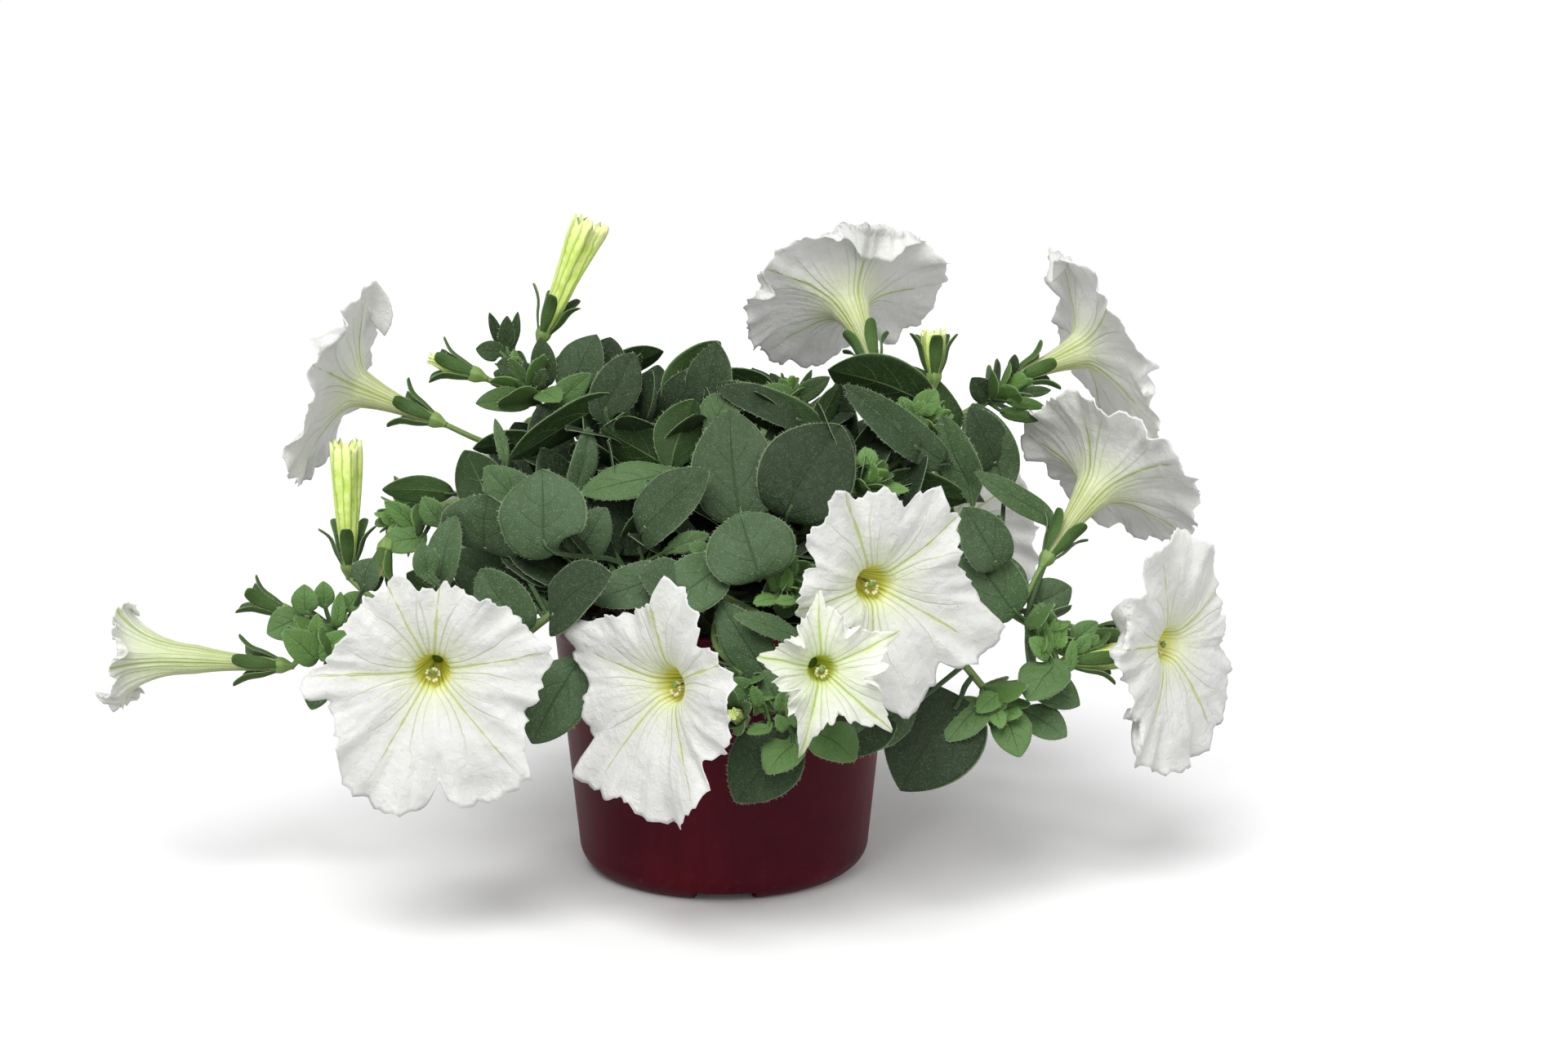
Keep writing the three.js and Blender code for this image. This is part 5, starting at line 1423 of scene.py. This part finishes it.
def rounded(points, radius, steps):
    """A profile whose corners are rounded: each inner point is replaced by an arc of the given reach."""
    points = np.asarray(points, float)
    share = np.linspace(0, 1, steps)[:, None]
    out = [points[:1]]
    for before, here, after in zip(points[:-2], points[1:-1], points[2:]):
        reach = min(radius, 0.45 * np.linalg.norm(here - before), 0.45 * np.linalg.norm(after - here))
        start, end = here + unit(before - here) * reach, here + unit(after - here) * reach
        out.append((1 - share) ** 2 * start + 2 * share * (1 - share) * here + share**2 * end)
    return np.concatenate(out + [points[-1:]])


def inner_radius(height):
    """The inside radius of the pot's straight side at a height."""
    share = (height - CORNER_RADIUS) / (POT_HEIGHT - RIM_BAND - CORNER_RADIUS)
    return SIDE_RADIUS_LOW + (SIDE_RADIUS_HIGH - SIDE_RADIUS_LOW) * share - POT_WALL


def make_pot():
    """The pot: one turned profile of foot, corner, tapered side, rim band and inside; three foot notches."""
    corner = SIDE_RADIUS_LOW - CORNER_RADIUS
    band = POT_HEIGHT - RIM_BAND
    brim = SIDE_RADIUS_HIGH + RIM_STEP
    floor = UNDERSIDE_RISE + POT_WALL
    cup = inner_radius(CORNER_RADIUS)
    outer = [
        (0, 0), (CENTRE_PAD_RADIUS, 0), (CENTRE_PAD_RADIUS + 1.5, UNDERSIDE_RISE),
        (FOOT_RADIUS - 1.5, UNDERSIDE_RISE), (FOOT_RADIUS, 0), (corner, 0),
    ]
    for turn in np.linspace(0.15, math.pi / 2, 12):
        outer.append((corner + CORNER_RADIUS * math.sin(turn), CORNER_RADIUS * (1 - math.cos(turn))))
    for share in (0.2, 0.4, 0.6, 0.8, 0.97):
        radius = SIDE_RADIUS_LOW + (SIDE_RADIUS_HIGH - SIDE_RADIUS_LOW) * share
        outer.append((radius, CORNER_RADIUS + (band - CORNER_RADIUS) * share))
    rim = [
        (SIDE_RADIUS_HIGH, band), (brim, band + 0.8), (brim + 0.9, POT_HEIGHT - 0.6),
        (brim + 0.4, POT_HEIGHT), (inner_radius(POT_HEIGHT) + 0.2, POT_HEIGHT),
    ]
    inside = [
        (inner_radius(80), 80), (inner_radius(45), 45), (cup, CORNER_RADIUS),
        (cup - 2.2, floor + 1.4), (cup - 5, floor), (0, floor),
    ]
    half = math.asin(NOTCH_WIDTH / 2 / NOTCH_REACH)
    marks = [-math.pi / 2 + 2 * math.pi * number / 3 for number in range(3)]
    steps = [side * half + step for side in (-1, 1) for step in (-NOTCH_EDGE, NOTCH_EDGE)]
    edges = [mark + step for mark in marks for step in steps]
    turns = np.unique(np.round(np.append(round_turns(180), np.mod(edges, 2 * math.pi)), 5))

    def notch(grid):
        """Lifts the foot ring to the underside's height within each notch."""
        turn = np.arctan2(grid[..., 1], grid[..., 0])
        out = np.hypot(grid[..., 0], grid[..., 1])
        gap = np.min([np.abs((turn - mark + math.pi) % (2 * math.pi) - math.pi) for mark in marks], 0)
        open_here = smooth(half + NOTCH_EDGE, half - NOTCH_EDGE, gap) * (out > CENTRE_PAD_RADIUS + 6)
        lifted = np.maximum(grid[..., 2], UNDERSIDE_RISE * open_here)
        grid[..., 2] = np.where(grid[..., 2] < UNDERSIDE_RISE, lifted, grid[..., 2])

    skin = Skin()
    turned_body(skin, rounded(outer + rim + inside, 0.5, 3), turns, notch)
    return skin


def make_mix():
    """The potting mix: a plug whose dished top is broken into crumbs by relief of four sizes."""
    floor = UNDERSIDE_RISE + POT_WALL + 0.3
    corner = inner_radius(CORNER_RADIUS)
    edge = inner_radius(MIX_TOP) - 0.3
    below = [
        (0, floor), (corner - 6, floor), (corner - 3.2, floor + 1.6),
        (corner - 0.6, CORNER_RADIUS + 0.6), (edge - 2.6, 66), (edge, MIX_TOP - 1.5),
    ]
    reaches = np.linspace(edge - 0.6, 1.0, 56)
    top = [(reach, MIX_TOP - 1 - 1.2 * math.sin(math.pi * reach / edge)) for reach in reaches]

    def crumbs(grid):
        """Raises and lowers the top, and leaves the rest as it is."""
        x, y, z = np.moveaxis(grid, -1, 0)
        sizes = ((1.3, 9, 1), (1.0, 4, 2), (0.7, 2, 3), (0.35, 1.1, 4))
        rough = sum(height * relief(x, y, size, seed) for height, size, seed in sizes)
        grid[..., 2] = z + np.clip(rough, -2.0, 1.9) * smooth(MIX_TOP - 8, MIX_TOP - 3, z)

    skin = Skin()
    turned_body(skin, below + top + [(0, MIX_TOP - 1)], round_turns(200), crumbs)
    rng = np.random.default_rng(GRAIN_SEED)
    for number in range(150):
        reach, turn = edge * math.sqrt(rng.uniform(0.03, 0.9)), rng.uniform(0, 2 * math.pi)
        height = MIX_TOP - 1.4 + rng.uniform(-0.3, 0.5)
        centre = np.array([reach * math.cos(turn), reach * math.sin(turn), height])
        kind, longest = (PERLITE, 2.4) if number % 3 == 0 else (0, 4.5)
        axis = unit(rng.normal(size=3))
        add_grain(skin, centre, axis, rng.uniform(0.7, 1.5), rng.uniform(0.8, longest), number, kind)
    return skin


def make_crown():
    """The crown: a short knobbly stump, turned from its outline and swollen where shoots leave it."""

    def knobs(grid):
        """Swells and shrinks the stump round its axis."""
        turn = np.degrees(np.arctan2(grid[..., 1], grid[..., 0]))
        grid[..., :2] *= 1 + 0.05 * relief(turn / 12, grid[..., 2] / 3, 1.0, 5)[..., None]

    skin = Skin()
    turned_body(skin, rounded(CROWN_OUTLINE, 2.0, 4), round_turns(48), knobs)
    return skin


def make_shoot(key, number):
    """A shoot: its stem, the rosette at its tip, and the stalks and calyxes of its flowers and buds."""
    skin = Skin()
    stem = stem_points(key)
    inside = [np.array(stem[0]) * (0.55, 0.55, 1) - (0, 0, 3)] + stem
    rod = add_rod(skin, inside, [STEM_RADIUS * 1.25, STEM_RADIUS, 1.7, STEM_TIP_RADIUS], 48, 12, STEM, 0.15)
    add_down_on_rod(skin, rod, 420, 1.3, STEM_SEED + number)
    add_rosette(skin, key, ROSETTE_SEED + number)
    for item, flower in enumerate(FLOWERS.values()):
        if flower["shoot"] == key:
            place, way = flower_axis(flower, 0.0)
            seed = FLOWER_STALK_SEED + item
            add_stalk_with_calyx(skin, key, flower["along"], flower["via"], place[0], way[0], 3.9, seed)
    for item, (shoot, along, via, base, tip, radii) in enumerate(BUDS.values()):
        if shoot == key:
            base, tip = np.array(base, float), np.array(tip, float)
            seed = BUD_STALK_SEED + item
            add_stalk_with_calyx(skin, key, along, via, base, unit(tip - base), radii[1], seed)
    return skin


def inside_dome(point):
    """Whether a point lies inside the rounded mass of foliage, behind the front leaves."""
    x, y, z = point
    inside = (x / 112) ** 2 + ((y - 12) / 88) ** 2 + ((z - 118) / 84) ** 2 < 1
    front = -34 if z > 165 else -34 - 0.75 * (165 - z)
    return inside and y > max(front, -62) and z > 82


def fill_leaves(key, number):
    """A shoot's side leaves by rule: at steps along it, each a golden turn further round, inside the dome."""
    rng = np.random.default_rng(FILLING_SEED + number)
    stem = stem_points(key)
    for step, along in enumerate(np.arange(0.16, 0.97, 0.045)):
        place, way = spot(stem, along)
        first, second = across_from(way)
        turn = math.radians(GOLDEN_TURN * step + 40 * number)
        length = (40 - 16 * along) * rng.uniform(0.85, 1.15)
        for _ in range(8):
            out = outward(turn, first, second)
            base = place + out * rng.uniform(7, 12)
            tip = base + unit(out * 0.85 + way * 0.45 + np.array([0, 0, 0.2])) * length
            if inside_dome(base) and inside_dome(tip) and out[2] > -0.5:
                direction = unit(tip - base)
                lean = rng.uniform(-0.35, 0.35, 3)
                up = unit(np.array([0, -0.25, 1.0]) - direction * direction[2] + lean)
                yield place, base, tip, length * 0.64, up
                break
            turn += math.radians(47)


def add_side_leaf(skin, on_stem, base, tip, width, up, seed, age, rows, columns, hair_gap, shade_and_tone):
    """A leaf from any place on a stem: a rod as its stalk, and the blade from just before its base."""
    middle = (base + tip) / 2 + up * 0.08 * width
    route = [on_stem, on_stem + unit(base - on_stem) * 4, base, middle, tip]
    thick = min(1.0, 0.35 + width / 14)
    add_rod(skin, route, [thick, thick, 0.8 * thick], 8, 6, age=0.2 + 0.6 * age, last=0.54)
    add_blade(skin, route, BLADE_START, up, width, (0.64, 0.76), seed, rows, columns, age, hair_gap=hair_gap,
              shade_and_tone=shade_and_tone)


def nearest_on_stems(point, away):
    """The shoot and the place on its stem that a stalk reaches best: near, and straight on from the blade."""
    best = None
    for key in SHOOTS:
        line = through(stem_points(key), np.linspace(0.2, 0.95, 40))
        gaps = np.linalg.norm(line - point, axis=1)
        gaps = gaps * (1.7 - (line - point) @ away / np.maximum(gaps, 1e-6))
        if best is None or gaps.min() < best[0]:
            best = (gaps.min(), key, line[gaps.argmin()])
    return best[1:]


def make_more_leaves():
    """The leaves read off the picture, gathered by the shoot that each stalk grows from."""
    gathered = {key: Skin() for key in SHOOTS}
    for number, (base_pixel, tip_pixel, base_depth, tip_depth, wide, looks, age) in enumerate(MORE_LEAVES):
        base, tip = seen_at(base_pixel, base_depth), seen_at(tip_pixel, tip_depth)
        width = wide * np.linalg.norm(base - np.array(CAMERA_PLACE)) / FOCAL
        key, on_stem = nearest_on_stems(base, unit(base - tip))
        # Where the rise is below nought the leaf is turned over, so that its underside, whose darker green is partly
        # painted shade, is the side seen.
        face = facing(*looks) * (-1 if looks[1] < 0 else 1)
        direction = unit(tip - base)
        up = unit(face - direction * (face @ direction))
        size = (14, 9) if wide < 28 else (20, 13)
        seed = SEEN_LEAF_SEED + number
        spread = 0.3 * np.random.default_rng(seed).uniform(-1, 1)
        # Painted shade: a leaf further back is darker, with a random spread of tone.
        shade_and_tone = float(np.clip(0.55 + base_depth / 40 + spread, 0, 1))
        add_side_leaf(gathered[key], on_stem, base, tip, width, up, seed, age, *size, 1.0, shade_and_tone)
    return gathered


# Finishes for this plant
down = make_down_group()
leaf_veins = make_leaf_vein_group()
petal_veins = make_petal_vein_group()
# The third colour, the underside's, is darkened partly as painted shade.
leaf_green = make_leaf_finish(
    "downy_leaf", (0.046, 0.084, 0.032), (0.07, 0.116, 0.055), (0.02, 0.044, 0.011), (0.15, 0.3, 0.07),
    leaf_veins, down,
)
petal_white = make_petal_finish(
    "white_petal", (0.94, 0.94, 0.9), (0.78, 0.88, 0.44), (0.5, 0.62, 0.1), (0.66, 0.66, 0.05),
    (0.66, 0.76, 0.34), 1.0, petal_veins,
)
petal_cream = make_petal_finish(
    "cream_petal", (0.95, 0.96, 0.88), (0.6, 0.82, 0.12), (0.42, 0.64, 0.05), (0.52, 0.62, 0.03),
    (0.72, 0.87, 0.36), 0.65, petal_veins,
)
stem_green = make_stem_finish("stem_green", (0.09, 0.16, 0.035), (0.15, 0.24, 0.06), down)
bud_cream = make_bud_finish("furled_bud")
hair_pale = make_plain_finish("pale_hair", (0.42, 0.5, 0.33), (0.5, 0.56, 0.42), 500.0, 0.6, 0.0001)
anther_cream = make_plain_finish("anther_cream", (0.6, 0.55, 0.3), (0.72, 0.66, 0.42), 900.0, 0.7, 0.0002)
stigma_green = make_plain_finish("stigma_green", (0.12, 0.2, 0.04), (0.2, 0.3, 0.07), 900.0, 0.45, 0.0002)
perlite_white = make_plain_finish("perlite_white", (0.5, 0.48, 0.43), (0.66, 0.64, 0.6), 900.0, 0.9, 0.0004)
crown_bark = make_plain_finish("crown_bark", (0.07, 0.075, 0.03), (0.12, 0.12, 0.055), 260.0, 0.75, 0.0008)
pot_plastic = make_pot_finish()
peat = make_mix_finish()

# Pieces; the place of each finish in its list is the kind that the shapes name
finish_piece("pot_body", make_pot(), [pot_plastic], "pot_plastic", ["pot"])
finish_piece("mix_top", make_mix(), [peat, perlite_white], "potting_mix", ["potting_mix"])
finish_piece("crown_stump", make_crown(), [crown_bark], "stem_green", ["crown"])
for number, key in enumerate(SHOOTS):
    finishes = [leaf_green, hair_pale, stem_green]
    finish_piece(f"stem_{key}", make_shoot(key, number), finishes, "stem_green", [f"shoot_{key}"])
for number, key in enumerate(FLOWERS):
    petal, slot = (petal_cream, "petal_cream") if key in YOUNG_FLOWERS else (petal_white, "petal_white")
    skin = make_corolla(key, number, *((120, 10, 24) if key.startswith("back") else (180, 12, 30)))
    finish_piece(f"corolla_{key}", skin, [petal, anther_cream, stigma_green], slot, [f"flower_{key}"])
for number, key in enumerate(BUDS):
    finish_piece(f"furled_{key}", make_bud(key, number), [bud_cream], "bud_cream", [f"bud_{key}"])
for number, (key, row) in enumerate(LEAVES.items()):
    skin = Skin()
    add_leaf(skin, *row, LEAF_SEED + number)
    finish_piece(f"blade_{key}", skin, [leaf_green, hair_pale], "leaf_green", [f"leaf_{key}"])
seed = FILL_LEAF_SEED
for number, (key, skin) in enumerate(make_more_leaves().items()):
    for leaf in fill_leaves(key, number):
        # The leaves filled in by rule, inside the dome, are given the darkest painted shade.
        add_side_leaf(skin, *leaf, seed, 0.0, 12, 7, 2.6, 1.0)
        seed += 1
    if skin.count:
        finish_piece(f"side_leaves_{key}", skin, [leaf_green, hair_pale], "leaf_green")


# Floor, light and camera


def aim_at(thing, place, target):
    """Puts a thing at a place so that its -Z looks at the target and its Y stays up."""
    thing.location = place
    thing.rotation_euler = (Vector(target) - Vector(place)).to_track_quat("-Z", "Y").to_euler()


def make_floor():
    """A wide level floor: a grid of points, a little uneven in colour."""
    finish, w, shader = new_finish("pale_floor")
    patch = w.noise(w.place(), 3.0, 2.0)
    pale = w.mix(patch, (0.95, 0.95, 0.95), (0.97, 0.97, 0.97))
    w.put(shader.inputs["Base Color"], w.mix(w.straight_ray(), (0.32, 0.32, 0.32), pale))
    w.put(shader.inputs["Roughness"], w.step(patch, 0.0, 1.0, 0.7, 0.8))
    line = np.linspace(-FLOOR_REACH, FLOOR_REACH, 13)
    x, y = np.meshgrid(line, line, indexing="ij")
    skin = Skin()
    numbers = skin.add_points(np.stack([x, y, np.zeros_like(x)], -1))
    skin.grid(numbers, np.stack([x, y], -1) / (2 * FLOOR_REACH) + 0.5)
    floor = add_object("studio_floor", skin.mesh("studio_floor", [finish]))
    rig.stage(floor)


def make_world():
    """A pale room: full to rays straight from the camera or off a gloss, weaker as light on the plant."""
    world = bpy.data.worlds.new("pale_room")
    world.use_nodes = True
    bpy.context.scene.world = world
    w = Wiring(world.node_tree)
    back = world.node_tree.nodes["Background"]
    set_values(back, Color=(1.0, 1.0, 1.0, 1))
    w.put(back.inputs["Strength"], w.step(w.straight_ray(), 0.0, 1.0, 0.3, 1.0))


def add_light(name, place, strength, spread):
    """A soft light from far off, along the line from a place to the plant, from a wide patch of sky."""
    lamp = bpy.data.lights.new(name, "SUN")
    lamp.energy, lamp.angle = strength, math.radians(spread)
    aim_at(add_object(name, lamp), place, (0, 0, 0.12))


def add_camera():
    """The camera that took the picture."""
    lens = bpy.data.cameras.new("camera")
    lens.lens, lens.sensor_width = LENS, SENSOR
    lens.clip_end = 20.0
    camera = add_object("camera", lens)
    aim_at(camera, *([value * MM for value in point] for point in (CAMERA_PLACE, CAMERA_TARGET)))
    bpy.context.scene.camera = camera


make_floor()
make_world()
add_light("overhead", (-0.3, -0.95, 1.4), 2.9, 38)
add_light("front_fill", (0.5, -1.3, 0.5), 1.0, 50)
add_light("side_glow", (1.3, 0.75, 0.6), 0.5, 40)
add_camera()
bpy.context.scene.view_settings.view_transform = "Standard"

bpy.context.view_layer.update()
with open("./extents.json", "w") as report:
    boxes = {"cad": cad_box, "visual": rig.bounds()}
    json.dump(boxes, report, default=lambda value: [float(number) for number in value])
